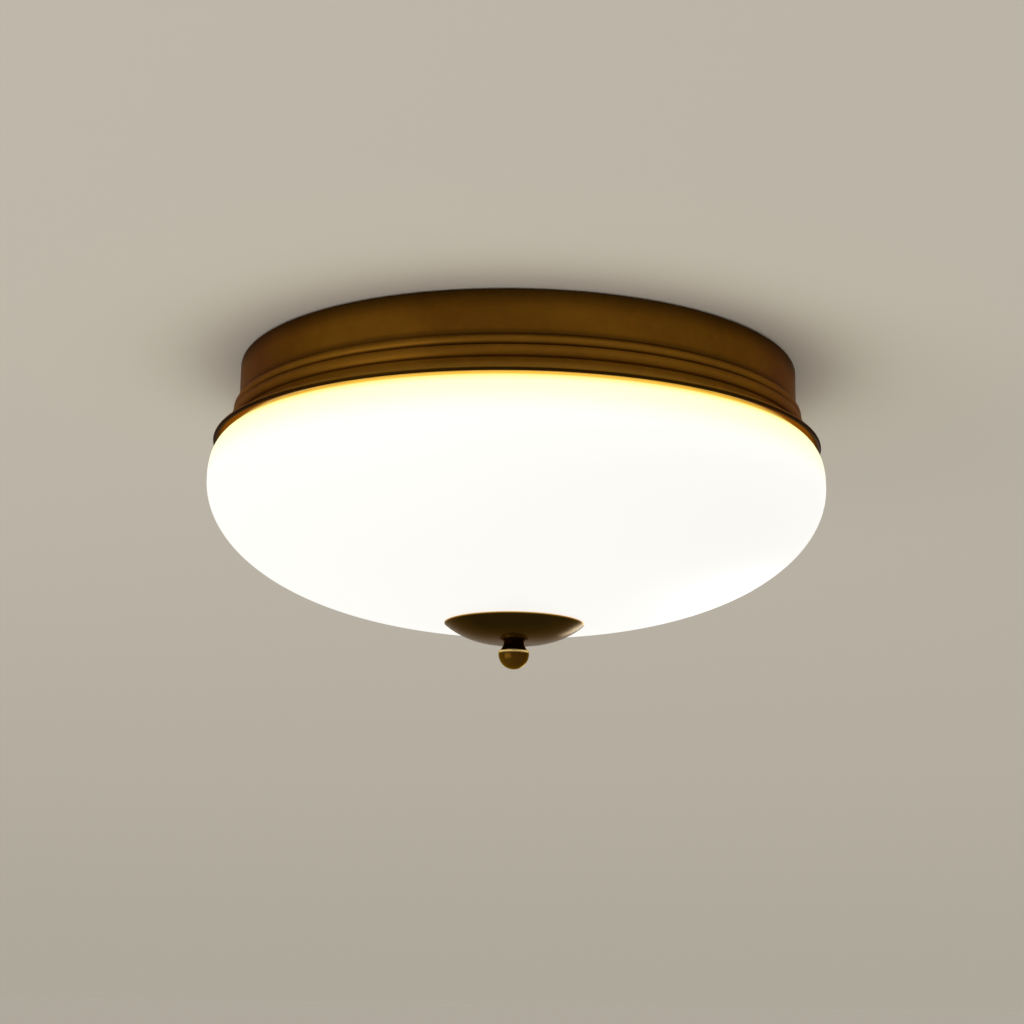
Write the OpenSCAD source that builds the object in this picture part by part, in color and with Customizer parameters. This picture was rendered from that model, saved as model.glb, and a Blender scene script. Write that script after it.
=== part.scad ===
// Flush ceiling light: a spun pan with reeded edge, an opal glass bowl, and a cap and finial
// that hold the bowl up on a central stem. Millimetres, +Z up.
// The origin is the centre of the plane where the fitting meets the ceiling.

/* [Ceiling pan] */
// Outside diameter of the plain wall
pan_d = 318; // [300:1:336]
// Thickness of the spun sheet
sheet_t = 1; // [0.8:0.1:1.2]
// Height of the plain wall above the reeding
wall_h = 24; // [18:1:30]
// Depth of the wiring recess behind the base
recess_h = 12; // [11:0.5:14]
// Width of the flat ring that lies against the ceiling
seat_w = 12; // [8:1:16]
// Radius of the round bead under the wall
bead_r = 2.7; // [2.3:0.1:3]
// Height of the second, flatter band
band_h = 5.8; // [5:0.2:7]
// Radius of the cove that runs out to the rim
cove_r = 7.2; // [6.6:0.2:8]
// Width of the rim beyond the cove
rim_w = 4.2; // [3.6:0.2:5]

/* [Glass bowl] */
// Thickness of the opal glass
glass_t = 3.5; // [3:0.1:4]
// How far the bowl swells past the rim of the pan
bowl_bulge = 2.4; // [1:0.2:5]
// Height from the top edge of the glass down to its widest level
shoulder_h = 24.7; // [22:0.5:28]
// Depth of the bowl below its widest level
bowl_h = 76.1; // [70:1:90]
// Overlap of the pan's rim over the top edge of the glass
rim_overlap = 2.9; // [2.4:0.1:3.4]

/* [Stem, cap and finial] */
// Diameter of the threaded stem
stem_d = 6; // [5:0.5:7]
// Diameter of the cap under the bowl
cap_d = 78.8; // [66:1:90]
// Depth of the cap
cap_h = 11; // [9:0.5:14]
// Diameter of the finial's ball
ball_d = 17.2; // [15:0.2:20]
// Height of the finial's flared neck, from the cap down to the ball's shoulder
neck_h = 4.2; // [3:0.1:6]
// Length of stem that the finial screws on to
grip_l = 9.4; // [7:0.2:10]

/* [Lamps and holders] */
// Distance of the lamps' axis below the base
lamp_drop = 43; // [40:1:48]
// Distance from the stem to the back of each lampholder
holder_x = 19; // [18:0.5:24]
// Length of each lampholder
holder_l = 40; // [38:1:44]
// Outside diameter of each lampholder's front rim
holder_d = 40; // [38:0.5:44]
// Largest diameter of each bulb
bulb_d = 60; // [50:1:64]
// Length of each bulb from contact to crown
bulb_l = 103; // [98:1:108]
// Outside diameter of each bulb's screw cap
cap_screw_d = 26.2; // [25.8:0.1:26.4]

/* [Mounting strap] */
// Length of the strap that is screwed to the ceiling box
strap_l = 138; // [134:1:150]
// Width of the strap
strap_w = 20; // [16:1:24]
// Thickness of the strap
strap_t = 2; // [1.5:0.1:2.5]
// Distance between the two slots' centres
slot_pitch = 89; // [84:1:92]
// Length of each slot, end to end
slot_l = 16; // [12:1:18]
// Width of each slot
slot_w = 5; // [4.4:0.1:6]
// Distance between the two screws that hold the pan
pan_screw_pitch = 124; // [122:1:128]

/* [Wiring] */
// Diameter of an insulated lead
wire_d = 2.4; // [2:0.1:2.6]
// Bore of the cable grommet
cable_bore_d = 11; // [9:0.5:12]
// Length of the terminal block across its three poles
block_l = 30; // [28:1:34]
// Width of the terminal block
block_w = 16; // [14:1:18]

/* [Hidden] */
$fn = 96;

// Clearances
run_fit = 0.05;
hole_fit = 0.15;
soft_gap = 0.3;

// Pan levels, measured down from the ceiling
pan_r = pan_d / 2;
base_top_z = -recess_h;
base_z = base_top_z - sheet_t;
seat_run = 8;
seat_in_r = pan_r - seat_w - 1;
base_r = seat_in_r - seat_run;
corner_r = 2;
groove_h = 0.5;
bead_out = 0.4;
bead_z = -(wall_h + 2 * groove_h + bead_r);
notch_z = bead_z - bead_r - 0.3;
notch_out = 1.4;
band_curve_r = 5;
band_out = -0.8;
band_z = notch_z - 0.2 - band_h / 2;
band_half_angle = asin(band_h / 2 / band_curve_r);
cove_in = 2.4;
cove_z = band_z - band_h / 2 - groove_h;
cove_c = [pan_r + cove_in + cove_r, cove_z];
rim_r = cove_c[0] + rim_w;
rim_edge_r = 1.25;
rim_edge_c = [rim_r - rim_edge_r, cove_z - cove_r - 0.5 - rim_edge_r];
pan_z = rim_edge_c[1] - rim_edge_r;

// Glass levels
bowl_top_z = pan_z + rim_overlap;
bowl_mid_z = bowl_top_z - shoulder_h;
bowl_low_z = bowl_mid_z - bowl_h;
bowl_r = rim_r + bowl_bulge;
bowl_bow = 2.35;
mouth_r = pan_r - 2.8;
bowl_hole_r = stem_d / 2 + 3.5;
lip_in = 1.6;

// Cap and finial levels
cap_r = cap_d / 2;
cap_rim_z = bowl_outer_z(cap_r) - soft_gap - 0.25;
cap_bow = 2.9;
cap_flat_r = 9;
cap_flat_z = cap_outer_z(cap_flat_r);
finial_top_z = cap_flat_z - run_fit;
ball_r = ball_d / 2;
shoulder_up = ball_r * 0.22;
ball_z = finial_top_z - neck_h - shoulder_up;
stem_r = stem_d / 2;
stem_low_z = finial_top_z - grip_l;
stem_top_z = -strap_t - 1.5;
finial_bore_z = stem_low_z - 1.7;

// Stem hardware
nut_af = stem_d * 10 / 6;
nut_h = stem_d * 5 / 6;
bridge_t = 1.5;
washer_t = 0.8;
washer_z = base_z - bridge_t - washer_t;

// Lampholders and bulbs, measured along the lamp's axis from the holder's back
lamp_z = base_z - lamp_drop;
bridge_w = 24;
holder_r = holder_d / 2;
holder_floor = 10;
holder_bore_r = cap_screw_d / 2 + 1.4;
shell_t = 0.5;
shell_r = holder_bore_r - 0.1;
shell_l = 25;
contact_h = 3.2;
bulb_start = holder_floor + contact_h + soft_gap;
bulb_r = bulb_d / 2;
cap_screw_r = cap_screw_d / 2;
insulator_l = 4;
screw_cap_start = bulb_start + insulator_l;
screw_cap_l = 21;
bulb_neck = screw_cap_start + screw_cap_l;
bulb_centre = bulb_start + bulb_l - bulb_r;
bulb_t = 0.8;
terminal_x = 6;
terminal_y = 9;
terminal_depth = 4;

// Strap and screws
pan_screw_r = 2;
key_turn = 9;
key_hole_r = 5;

// Wiring places on the base
block_pos = [34, 62];
block_h = 13;
pole_pitch = 8.4;
port_z = base_z - 7.5;
sleeve_r = 2.9;
sleeve_bore_r = 2.6;
block_screw_r = 1.5;
port_depth = 5;
grommet_pos = [34, 92];
grommet_hole_r = cable_bore_d / 2 + 2.5;
grommet_lip = 1.5;
earth_pos = [56, 44];
earth_r = 2;
eyelet_aim = -135;
pad_t = 6;
pad_in_r = 76;
wire_r = wire_d / 2;

// Points on a circular arc
function arc(c, r, from, to, n) = [
    for (i = [0:n]) let (a = from + (to - from) * i / n) [c[0] + r * cos(a), c[1] + r * sin(a)]
];

// Level of the bowl's outer face below its widest level, at radius r
function bowl_outer_z(r) = bowl_mid_z - bowl_h * sqrt(1 - pow(r / bowl_r, bowl_bow));

// Levels of the cap's outer face, and of a face that lies a distance above it, at radius r
function cap_outer_z(r) = cap_rim_z - cap_h * (1 - pow(r / cap_r, cap_bow));
function cap_slope(r) = cap_h * cap_bow / cap_r * pow(r / cap_r, cap_bow - 1);
function above_cap_z(r, distance) = cap_outer_z(r) + distance * sqrt(1 + pow(cap_slope(r), 2));

// Unit normal on the left of a polyline at point i
function side(p, i) = let (
    a = p[max(i - 1, 0)],
    b = p[min(i + 1, len(p) - 1)],
    d = b - a
) [-d[1], d[0]] / norm(d);

// A polyline moved sideways by t
function beside(p, t) = [for (i = [0:len(p) - 1]) p[i] + side(p, i) * t];
function reversed(p) = [for (i = [len(p) - 1:-1:0]) p[i]];

// Smooth curve through points, n steps between each pair
function spline(p, n) = concat([
    for (i = [0:len(p) - 2], k = [0:n - 1]) let (
        t = k / n,
        a = p[max(i - 1, 0)],
        b = p[i],
        c = p[i + 1],
        d = p[min(i + 2, len(p) - 1)]
    ) 0.5 * (2 * b + (c - a) * t + (2 * a - 5 * b + 4 * c - d) * t * t
             + (3 * b - a - 3 * c + d) * t * t * t)
], [p[len(p) - 1]]);

function unit(v) = v / norm(v);
function heading(p, i) = unit(p[min(i + 1, len(p) - 1)] - p[max(i - 1, 0)]);

// Ring directions carried along a curve without twist
function carried(p, i, n) = let (t = heading(p, i), m = unit(n - (n * t) * t))
    i == len(p) - 1 ? [m] : concat([m], carried(p, i + 1, m));

// Round lead swept along a curve
module lead(points, r, sides = 8) {
    path = spline(points, 5);
    start = heading(path, 0);
    across = abs(start[0]) < 0.9 ? [1, 0, 0] : [0, 1, 0];
    frames = carried(path, 0, across);
    last = len(path) - 1;
    corners = [
        for (i = [0:last], k = [0:sides - 1]) let (
            a = 360 * k / sides,
            n = frames[i],
            b = cross(heading(path, i), n)
        ) path[i] + r * (cos(a) * n + sin(a) * b)
    ];
    walls = [
        for (i = [0:last - 1], k = [0:sides - 1]) let (m = (k + 1) % sides)
            [i * sides + k, (i + 1) * sides + k, (i + 1) * sides + m, i * sides + m]
    ];
    polyhedron(corners, concat(
        [[for (k = [0:sides - 1]) k]], walls, [[for (k = [sides - 1:-1:0]) last * sides + k]]
    ));
}

// Hexagonal nut with its top face at the origin
module hex_nut(af, h, bore_r) {
    translate([0, 0, -h]) difference() {
        intersection() {
            cylinder(d = af / cos(30), h = h, $fn = 6);
            translate([0, 0, -af * 0.05]) cylinder(r1 = af * 0.72, r2 = af * 0.5, h = h + af * 0.1);
        }
        translate([0, 0, -1]) cylinder(r = bore_r, h = h + 2);
    }
}

// Cross-recessed pan-head screw: underside of the head at the origin, shank up, head down
module pan_head_screw(r, l, head_r, head_h) {
    cylinder(r = r, h = l);
    difference() {
        rotate_extrude() polygon(concat(
            [[0, 0], [head_r, 0], [head_r, -head_h * 0.45]],
            arc([head_r - head_h * 0.55, -head_h * 0.45], head_h * 0.55, 0, -90, 6),
            [[0, -head_h]]
        ));
        for (a = [0, 90]) rotate([0, 0, a])
            translate([-head_r * 0.6, -head_r * 0.11, -head_h - 1])
                cube([head_r * 1.2, head_r * 0.22, head_h * 0.5 + 1]);
    }
}

// A copy on each side of the stem, for the two lamps
module lamp_side(k) {
    rotate([0, 0, k == 1 ? 0 : 180]) translate([holder_x, 0, lamp_z]) rotate([0, 90, 0]) children();
}

// Section of the spun sheet, from the base round the reeding to the rim and back
function pan_section() = let (
    slant = norm([seat_run, recess_h]),
    mitre = sheet_t * (slant - seat_run) / recess_h,
    in_cove_r = cove_r + sheet_t
) concat(
    [[0, base_top_z], [base_r, base_top_z], [seat_in_r, 0]],
    arc([pan_r - corner_r, -corner_r], corner_r, 90, 0, 6),
    [[pan_r, -wall_h], [pan_r - groove_h, -wall_h - groove_h]],
    arc([pan_r + bead_out, bead_z], bead_r, 75, -70, 14),
    [[pan_r + notch_out, notch_z]],
    arc([pan_r + band_out, band_z], band_curve_r, band_half_angle, -band_half_angle, 8),
    arc(cove_c, cove_r, 180, 270, 12),
    arc(rim_edge_c, rim_edge_r, 80, -165, 14),
    arc(cove_c, in_cove_r, 270, 180, 12),
    arc([pan_r + band_out, band_z], band_curve_r - sheet_t, -band_half_angle, band_half_angle - 16, 6),
    [[pan_r + notch_out - sheet_t, notch_z]],
    arc([pan_r + bead_out, bead_z], bead_r - sheet_t, -40, 60, 8),
    [[pan_r - sheet_t, -wall_h - groove_h]],
    arc([pan_r - corner_r, -corner_r], corner_r - sheet_t, 0, 90, 6),
    [[seat_in_r + mitre, -sheet_t], [base_r + mitre, base_z], [0, base_z]]
);

module ceiling_pan() {
    color([0.44, 0.31, 0.11]) difference() {
        rotate_extrude($fn = 180) polygon(pan_section());
        translate([0, 0, base_z - 1]) cylinder(r = stem_r + hole_fit, h = sheet_t + 2);
        for (a = [90, 270]) rotate([0, 0, a]) pan_keyhole();
        on_base(grommet_pos) cylinder(r = grommet_hole_r, h = sheet_t + 2);
        on_base(earth_pos) cylinder(r = earth_r + hole_fit, h = sheet_t + 2);
        on_base(block_pos) cylinder(r = 1.5 + hole_fit, h = sheet_t + 2);
    }
}

// Places a cutter through the base at a point
module on_base(p) {
    translate([p[0], p[1], base_z - 1]) children();
}

// Curved keyhole: the pan turns until its screws sit in the narrow end
module pan_keyhole() {
    r = pan_screw_pitch / 2;
    slot_r = pan_screw_r + 0.2;
    translate([0, 0, base_z - 1]) {
        translate([r, 0, 0]) cylinder(r = slot_r, h = sheet_t + 2);
        rotate_extrude(angle = key_turn) translate([r - slot_r, 0]) square([2 * slot_r, sheet_t + 2]);
        rotate([0, 0, key_turn]) translate([r, 0, 0]) cylinder(r = key_hole_r, h = sheet_t + 2);
    }
}

module insulation_pad() {
    color([0.86, 0.8, 0.62]) difference() {
        translate([0, 0, base_top_z]) cylinder(r = base_r - 4, h = pad_t, $fn = 180);
        translate([0, 0, base_top_z - 1]) cylinder(r = pad_in_r, h = pad_t + 2);
        on_base(grommet_pos) cylinder(r = grommet_hole_r + 4, h = pad_t + sheet_t + 2);
    }
}

module mounting_strap() {
    half = strap_l / 2 - strap_w / 2;
    color([0.72, 0.72, 0.7]) difference() {
        translate([0, 0, -strap_t]) {
            translate([-strap_w / 2, -half, 0]) cube([strap_w, 2 * half, strap_t]);
            for (s = [-1, 1]) translate([0, s * half, 0]) cylinder(d = strap_w, h = strap_t);
        }
        translate([0, 0, -strap_t - 1]) {
            cylinder(r = 5, h = strap_t + 2);
            for (s = [-1, 1]) {
                strap_slot(s * slot_pitch / 2);
                translate([0, s * pan_screw_pitch / 2, 0])
                    cylinder(r = pan_screw_r + run_fit, h = strap_t + 2);
            }
        }
    }
}

module strap_slot(y) {
    run = (slot_l - slot_w) / 2;
    translate([-slot_w / 2, y - run, 0]) cube([slot_w, 2 * run, strap_t + 2]);
    for (s = [-1, 1]) translate([0, y + s * run, 0]) cylinder(d = slot_w, h = strap_t + 2);
}

module pan_screws() {
    color([0.75, 0.75, 0.73]) for (s = [-1, 1]) translate([0, s * pan_screw_pitch / 2, base_z])
        pan_head_screw(pan_screw_r, -base_z, 4, 2.8);
}

// Soft ring that the top edge of the glass closes against
module rim_gasket() {
    low = bowl_top_z + soft_gap;
    seat_r = cove_r + sheet_t + run_fit;
    from = 180 + asin((cove_z - low - 3.1) / seat_r);
    to = 180 + asin((cove_z - low - 0.35) / seat_r);
    color([0.9, 0.89, 0.85]) rotate_extrude($fn = 180) polygon(concat(
        [[mouth_r + lip_in, low], [mouth_r + lip_in, low + 3.1]],
        arc(cove_c, seat_r, from, to, 5),
        [[cove_c[0] + seat_r * cos(to) - 0.3, low]]
    ));
}

module stem() {
    color([0.78, 0.66, 0.36]) {
        translate([0, 0, stem_low_z + 0.6]) cylinder(r = stem_r, h = stem_top_z - stem_low_z - 1.2);
        translate([0, 0, stem_low_z]) cylinder(r1 = stem_r - 0.6, r2 = stem_r, h = 0.6);
        translate([0, 0, stem_top_z - 0.6]) cylinder(r1 = stem_r, r2 = stem_r - 0.6, h = 0.6);
    }
}

module stem_nuts() {
    color([0.78, 0.78, 0.76]) {
        translate([0, 0, base_top_z + nut_h]) hex_nut(nut_af, nut_h, stem_r + run_fit);
        translate([0, 0, washer_z]) hex_nut(nut_af, nut_h, stem_r + run_fit);
    }
}

// Toothed lock washer
module stem_lock_washer() {
    inner_r = stem_r + hole_fit;
    ring_r = nut_af / 2 - 0.2;
    teeth = 10;
    color([0.7, 0.7, 0.68]) translate([0, 0, washer_z]) difference() {
        union() {
            cylinder(r = ring_r, h = washer_t);
            for (k = [0:teeth - 1]) rotate([0, 0, 360 * k / teeth])
                translate([ring_r - 0.8, -0.7, 0]) cube([2.2, 1.4, washer_t]);
        }
        translate([0, 0, -1]) cylinder(r = inner_r, h = washer_t + 2);
    }
}

// Inverted U strip that carries both lampholders
module lampholder_bridge() {
    leg_l = lamp_drop + 14;
    bend_r = 3;
    color([0.76, 0.76, 0.74]) difference() {
        translate([0, bridge_w / 2, 0]) rotate([90, 0, 0]) linear_extrude(bridge_w)
            bridge_section(leg_l, bend_r);
        for (s = [-1, 1], y = [-1, 1]) translate([s * holder_x, y * bridge_w / 2, base_z - leg_l])
            rotate([0, 90, 0]) rotate([0, 0, 45]) cube([9, 9, 6], center = true);
        translate([0, 0, base_z - bridge_t - 1]) cylinder(r = stem_r + hole_fit, h = bridge_t + 2);
        for (k = [1, 2], y = [-1, 1]) lamp_side(k) translate([0, y * 7, -bridge_t - 1])
            cylinder(r = 1.6, h = bridge_t + 2);
    }
}

module bridge_section(leg_l, bend_r) {
    x = holder_x;
    in_r = bend_r - bridge_t;
    polygon(concat(
        [[-x, base_z - leg_l]],
        arc([-x + bend_r, base_z - bend_r], bend_r, 180, 90, 6),
        arc([x - bend_r, base_z - bend_r], bend_r, 90, 0, 6),
        [[x, base_z - leg_l], [x - bridge_t, base_z - leg_l]],
        arc([x - bend_r, base_z - bend_r], in_r, 0, 90, 5),
        arc([-x + bend_r, base_z - bend_r], in_r, 90, 180, 5),
        [[-x + bridge_t, base_z - leg_l]]
    ));
}

// Porcelain lampholder: flanged back, waist and rolled front rim
module lampholder_body(k) {
    waist_r = holder_r - 2.2;
    rim_l = 8;
    edge = 1.5;
    color([0.93, 0.91, 0.86]) lamp_side(k) difference() {
        rotate_extrude() polygon(concat(
            [[0, 0], [holder_r - 1, 0], [holder_r, 1], [holder_r, 9]],
            arc([holder_r + 0.8, 12], 3, 225, 180, 4),
            [[waist_r, holder_l - rim_l - 3]],
            arc([holder_r - edge, holder_l - rim_l + 0.5], edge, -60, 0, 4),
            arc([holder_r - edge, holder_l - edge], edge, 0, 90, 5),
            [[holder_bore_r + 0.8, holder_l], [holder_bore_r, holder_l - 0.8]],
            [[holder_bore_r, holder_floor], [0, holder_floor]]
        ));
        for (y = [-1, 1]) {
            translate([0, y * 7, -1]) cylinder(r = 1.5, h = holder_floor - 1);
            translate([-holder_r - 1, y * terminal_y, terminal_x]) rotate([0, 90, 0])
                cylinder(r = wire_r + 0.2, h = lead_in());
        }
    }
}

// Depth of the lead's hole below the top of a holder, from just outside its flange
function lead_in() = holder_r + 1 - sqrt(pow(holder_r, 2) - pow(terminal_y, 2)) + terminal_depth;

module lampholder_shell(k) {
    inner_r = shell_r - shell_t;
    color([0.8, 0.68, 0.42]) lamp_side(k) difference() {
        translate([0, 0, holder_floor]) cylinder(r = shell_r, h = shell_l);
        translate([0, 0, holder_floor + 0.6]) cylinder(r = inner_r, h = holder_l);
        translate([0, 0, holder_floor - 1]) cylinder(r = 8, h = 3);
    }
}

// Sprung centre contact: a foot, a sloping tongue and a raised tip
module lampholder_contact(k) {
    t = 0.5;
    color([0.82, 0.62, 0.3]) lamp_side(k) translate([0, 2.5, holder_floor]) rotate([90, 0, 0])
        linear_extrude(5) polygon([
            [-6, 0], [5, 0], [6, 0.6], [2.5, contact_h], [-2.5, contact_h], [-3, contact_h - 0.8],
            [-2.3, contact_h - t], [2.2, contact_h - t], [5, t], [-6, t]
        ]);
}

module lampholder_screws() {
    color([0.75, 0.75, 0.73]) for (k = [1, 2], y = [-1, 1]) lamp_side(k)
        translate([0, y * 7, -bridge_t]) pan_head_screw(1.4, bridge_t + holder_floor - 3, 2.6, 1.8);
}

// Three-pole screw terminal block on the underside of the base
module terminal_block() {
    tower_r = 3.1;
    color([0.94, 0.94, 0.92]) translate([block_pos[0], block_pos[1], base_z]) difference() {
        union() {
            translate([-block_l / 2, -block_w / 2, -4]) cube([block_l, block_w, 4]);
            for (p = [-1:1]) translate([p * pole_pitch, 0, 0]) {
                translate([-3.8, -block_w / 2, -block_h + 3]) cube([7.6, block_w, block_h - 4]);
                for (s = [-1, 1]) translate([0, s * block_w / 4, -block_h]) cylinder(r = tower_r, h = 6);
            }
        }
        for (p = [-1:1]) translate([p * pole_pitch, 0, 0]) {
            translate([0, block_w / 2 + 1, port_z - base_z]) rotate([90, 0, 0])
                cylinder(r = sleeve_r, h = block_w + 2);
            for (s = [-1, 1]) translate([0, s * block_w / 4, -block_h - 1])
                cylinder(r = block_screw_r + run_fit, h = block_h - 5);
        }
        for (s = [-1, 1]) translate([s * pole_pitch / 2, 0, 0]) block_notch();
        translate([0, 0, -3]) cylinder(r = 1.6, h = 4);
    }
}

// Gap between two poles, as deep as the rails that join them
module block_notch() {
    translate([-0.4, -block_w, -block_h - 1]) cube([0.8, 2 * block_w, block_h - 3]);
}

// Brass sleeves inside the poles, with a bore for the leads on both sides
module terminal_sleeves() {
    color([0.83, 0.68, 0.36]) for (p = [-1:1])
        translate([block_pos[0] + p * pole_pitch, block_pos[1] + block_w / 2 - 1.5, port_z])
            rotate([90, 0, 0]) difference() {
                cylinder(r = sleeve_r - run_fit, h = block_w - 3);
                translate([0, 0, -1]) cylinder(r = sleeve_bore_r, h = 5.5);
                translate([0, 0, block_w - 3 - port_depth]) cylinder(r = sleeve_bore_r, h = port_depth + 1);
                for (s = [-1, 1]) translate([0, -sleeve_r - 1, block_w / 2 - 1.5 + s * block_w / 4])
                    rotate([-90, 0, 0]) cylinder(r = block_screw_r + run_fit, h = sleeve_r);
            }
}

module terminal_screws() {
    low = base_z - block_h + 0.3;
    color([0.75, 0.75, 0.73]) for (p = [-1:1], s = [-1, 1])
        translate([block_pos[0] + p * pole_pitch, block_pos[1] + s * block_w / 4, low])
            difference() {
                cylinder(r = block_screw_r, h = port_z - sleeve_bore_r - low);
                translate([-2, -0.3, -1]) cube([4, 0.6, 1.8]);
            }
}

module terminal_block_screw() {
    color([0.75, 0.75, 0.73]) translate([block_pos[0], block_pos[1], base_z - 2.9])
        cylinder(r = 1.4, h = sheet_t + 2.9 + 2.5);
}

// Rubber grommet that lines the hole for the supply cable
module cable_grommet() {
    bore_r = cable_bore_d / 2;
    lip_r = grommet_hole_r + 2.5;
    waist_r = grommet_hole_r - hole_fit;
    hi = base_top_z + run_fit;
    lo = base_z - run_fit;
    color([0.12, 0.12, 0.12]) translate([grommet_pos[0], grommet_pos[1], 0]) rotate_extrude() polygon([
        [bore_r, base_top_z + grommet_lip], [lip_r - 0.6, base_top_z + grommet_lip], [lip_r, hi + 0.6],
        [lip_r, hi], [waist_r, hi], [waist_r, lo], [lip_r, lo], [lip_r, lo - 0.6],
        [lip_r - 0.6, base_z - grommet_lip], [bore_r, base_z - grommet_lip]
    ]);
}

module earth_screw() {
    color([0.2, 0.55, 0.25]) translate([earth_pos[0], earth_pos[1], base_z - 0.8]) {
        cylinder(r = earth_r, h = sheet_t + 4);
        translate([0, 0, -2.6]) cylinder(d = 8 / cos(30), h = 2.6, $fn = 6);
    }
}

// Ring terminal under the earth screw, with its crimped barrel
module earth_eyelet() {
    color([0.78, 0.76, 0.72])
    translate([earth_pos[0], earth_pos[1], base_z - 0.8]) rotate([0, 0, eyelet_aim])
    difference() {
        union() {
            cylinder(r = 4, h = 0.8);
            translate([2, -1.6, 0]) cube([6, 3.2, 0.8]);
            translate([6, 0, -wire_r]) rotate([0, 90, 0]) cylinder(r = wire_r + 0.8, h = 7);
        }
        translate([0, 0, -1]) cylinder(r = earth_r + run_fit, h = 3);
        translate([8, 0, -wire_r]) rotate([0, 90, 0]) cylinder(r = wire_r + run_fit, h = 7);
        translate([4, -5, 0.8]) cube([12, 10, 4]);
    }
}

// Places that the leads join
function holder_end(s, y) = [s * (holder_x + terminal_x), y * terminal_y,
    lamp_z + sqrt(pow(holder_r, 2) - pow(terminal_y, 2)) - terminal_depth + 0.2];
function port(p, dz) =
    [block_pos[0] + p * pole_pitch, block_pos[1] - block_w / 2 + port_depth + 1.2, port_z + dz];

// One lead from a holder, up under the base and along to a pole; layer 0 runs nearest the base
module holder_lead(s, y, p, dz, layer, turns) {
    from = holder_end(s, y);
    to = port(p, dz);
    run_z = base_z - 1.4 - wire_r - layer * (wire_d + 0.9);
    lead(concat(
        [from, from + [0, 0, 5], [from[0], from[1] + 1, lamp_z + holder_r + 6]],
        [for (t = turns) [t[0], t[1], run_z]],
        [to - [0, 14, -1], to - [0, 7, 0], to]
    ), wire_r);
}

module live_wires() {
    color([0.45, 0.26, 0.14]) {
        holder_lead(1, 1, -1, 1.3, 1, [[26, 20]]);
        holder_lead(-1, 1, -1, -1.3, 2, [[-20, 20], [0, 28], [18, 34]]);
    }
}

module neutral_wires() {
    color([0.16, 0.34, 0.66]) {
        holder_lead(1, -1, 0, -1.3, 1, [[29, 2], [32, 22]]);
        holder_lead(-1, -1, 0, 1.3, 0, [[-29, 6], [-18, 21], [10, 23], [29, 32]]);
    }
}

module earth_wire() {
    away = [cos(eyelet_aim), sin(eyelet_aim), 0];
    from = [earth_pos[0], earth_pos[1], base_z - 0.8 - wire_r];
    to = port(1, -1.3);
    color([0.36, 0.62, 0.18]) lead([
        from + 8.2 * away, from + 11 * away, from + 13.5 * away, from + 16 * away,
        [to[0] - 1.5, from[1] - 14, from[2] - 1], [to[0] - 3, from[1] - 8, from[2] - 3],
        to - [0.5, 11, -0.5], to - [0, 6, 0], to
    ], wire_r);
}

// Outline of the bulb from its neck over the ball to the crown
function bulb_outline() = let (
    join_a = -42,
    join = [bulb_r * cos(join_a), bulb_centre + bulb_r * sin(join_a)],
    neck_r = cap_screw_r + 0.7
) concat(
    [[neck_r, bulb_neck - 1]],
    [for (i = [0:9]) let (t = i / 10, e = t * t * (3 - 2 * t))
        [neck_r + (join[0] - neck_r) * pow(e, 1.1), bulb_neck + (join[1] - bulb_neck) * t]],
    arc([0, bulb_centre], bulb_r, join_a, 87, 22)
);

module bulb_glass(k) {
    outer = bulb_outline();
    inner = beside(outer, bulb_t);
    last = len(outer) - 1;
    color([1, 0.97, 0.9]) lamp_side(k) rotate_extrude() polygon(concat(
        outer, [[0, outer[last][1]], [0, inner[last][1]]],
        reversed([for (i = [1:last]) inner[i]]),
        [[inner[1][0], bulb_neck - 1]]
    ));
}

module bulb_screw_cap(k) {
    color([0.8, 0.8, 0.78]) lamp_side(k) rotate_extrude() polygon([
        [cap_screw_r - 2.4, screw_cap_start], [cap_screw_r - 0.9, screw_cap_start + 0.6],
        [cap_screw_r, screw_cap_start + 3], [cap_screw_r, bulb_neck - 3],
        [cap_screw_r + 1.1, bulb_neck - 2], [cap_screw_r + 1.1, bulb_neck],
        [cap_screw_r + 0.7 + run_fit, bulb_neck], [cap_screw_r + 0.7 + run_fit, bulb_neck - 1.1],
        [cap_screw_r - 0.4, bulb_neck - 2.6], [cap_screw_r - 0.4, screw_cap_start + 3],
        [cap_screw_r - 1.4, screw_cap_start + 1.1], [cap_screw_r - 2.4, screw_cap_start + 0.8]
    ]);
}

module bulb_insulator(k) {
    color([0.1, 0.1, 0.1]) lamp_side(k) rotate_extrude() polygon([
        [0, bulb_start + 1.2], [4.6, bulb_start + 1.2], [5.4, bulb_start + 1.6],
        [cap_screw_r - 3.4, screw_cap_start - run_fit], [cap_screw_r - 2.4 - run_fit, screw_cap_start],
        [cap_screw_r - 2.4 - run_fit, screw_cap_start + 0.8], [0, screw_cap_start + 0.8]
    ]);
}

module bulb_contact(k) {
    color([0.78, 0.74, 0.66]) lamp_side(k) rotate_extrude() polygon([
        [0, bulb_start], [3.2, bulb_start], [4.2, bulb_start + 0.5], [4.2, bulb_start + 1.2 - run_fit],
        [0, bulb_start + 1.2 - run_fit]
    ]);
}

// Outer face of the bowl, from its top edge round to the hole at the bottom
function bowl_outline() = let (
    run = bowl_r - mouth_r,
    top_a = acos(pow(lip_in / run, 1.25))
) concat(
    [for (i = [0:13]) let (a = top_a * (1 - i / 14))
        [mouth_r + run * pow(cos(a), 0.8), bowl_mid_z + shoulder_h * pow(sin(a), 0.8)]],
    [for (i = [0:31]) let (a = 86 * i / 31, r = bowl_r * pow(cos(a), 2 / bowl_bow))
        [r, bowl_outer_z(r)]],
    [[bowl_hole_r, bowl_outer_z(bowl_hole_r)]]
);

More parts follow.
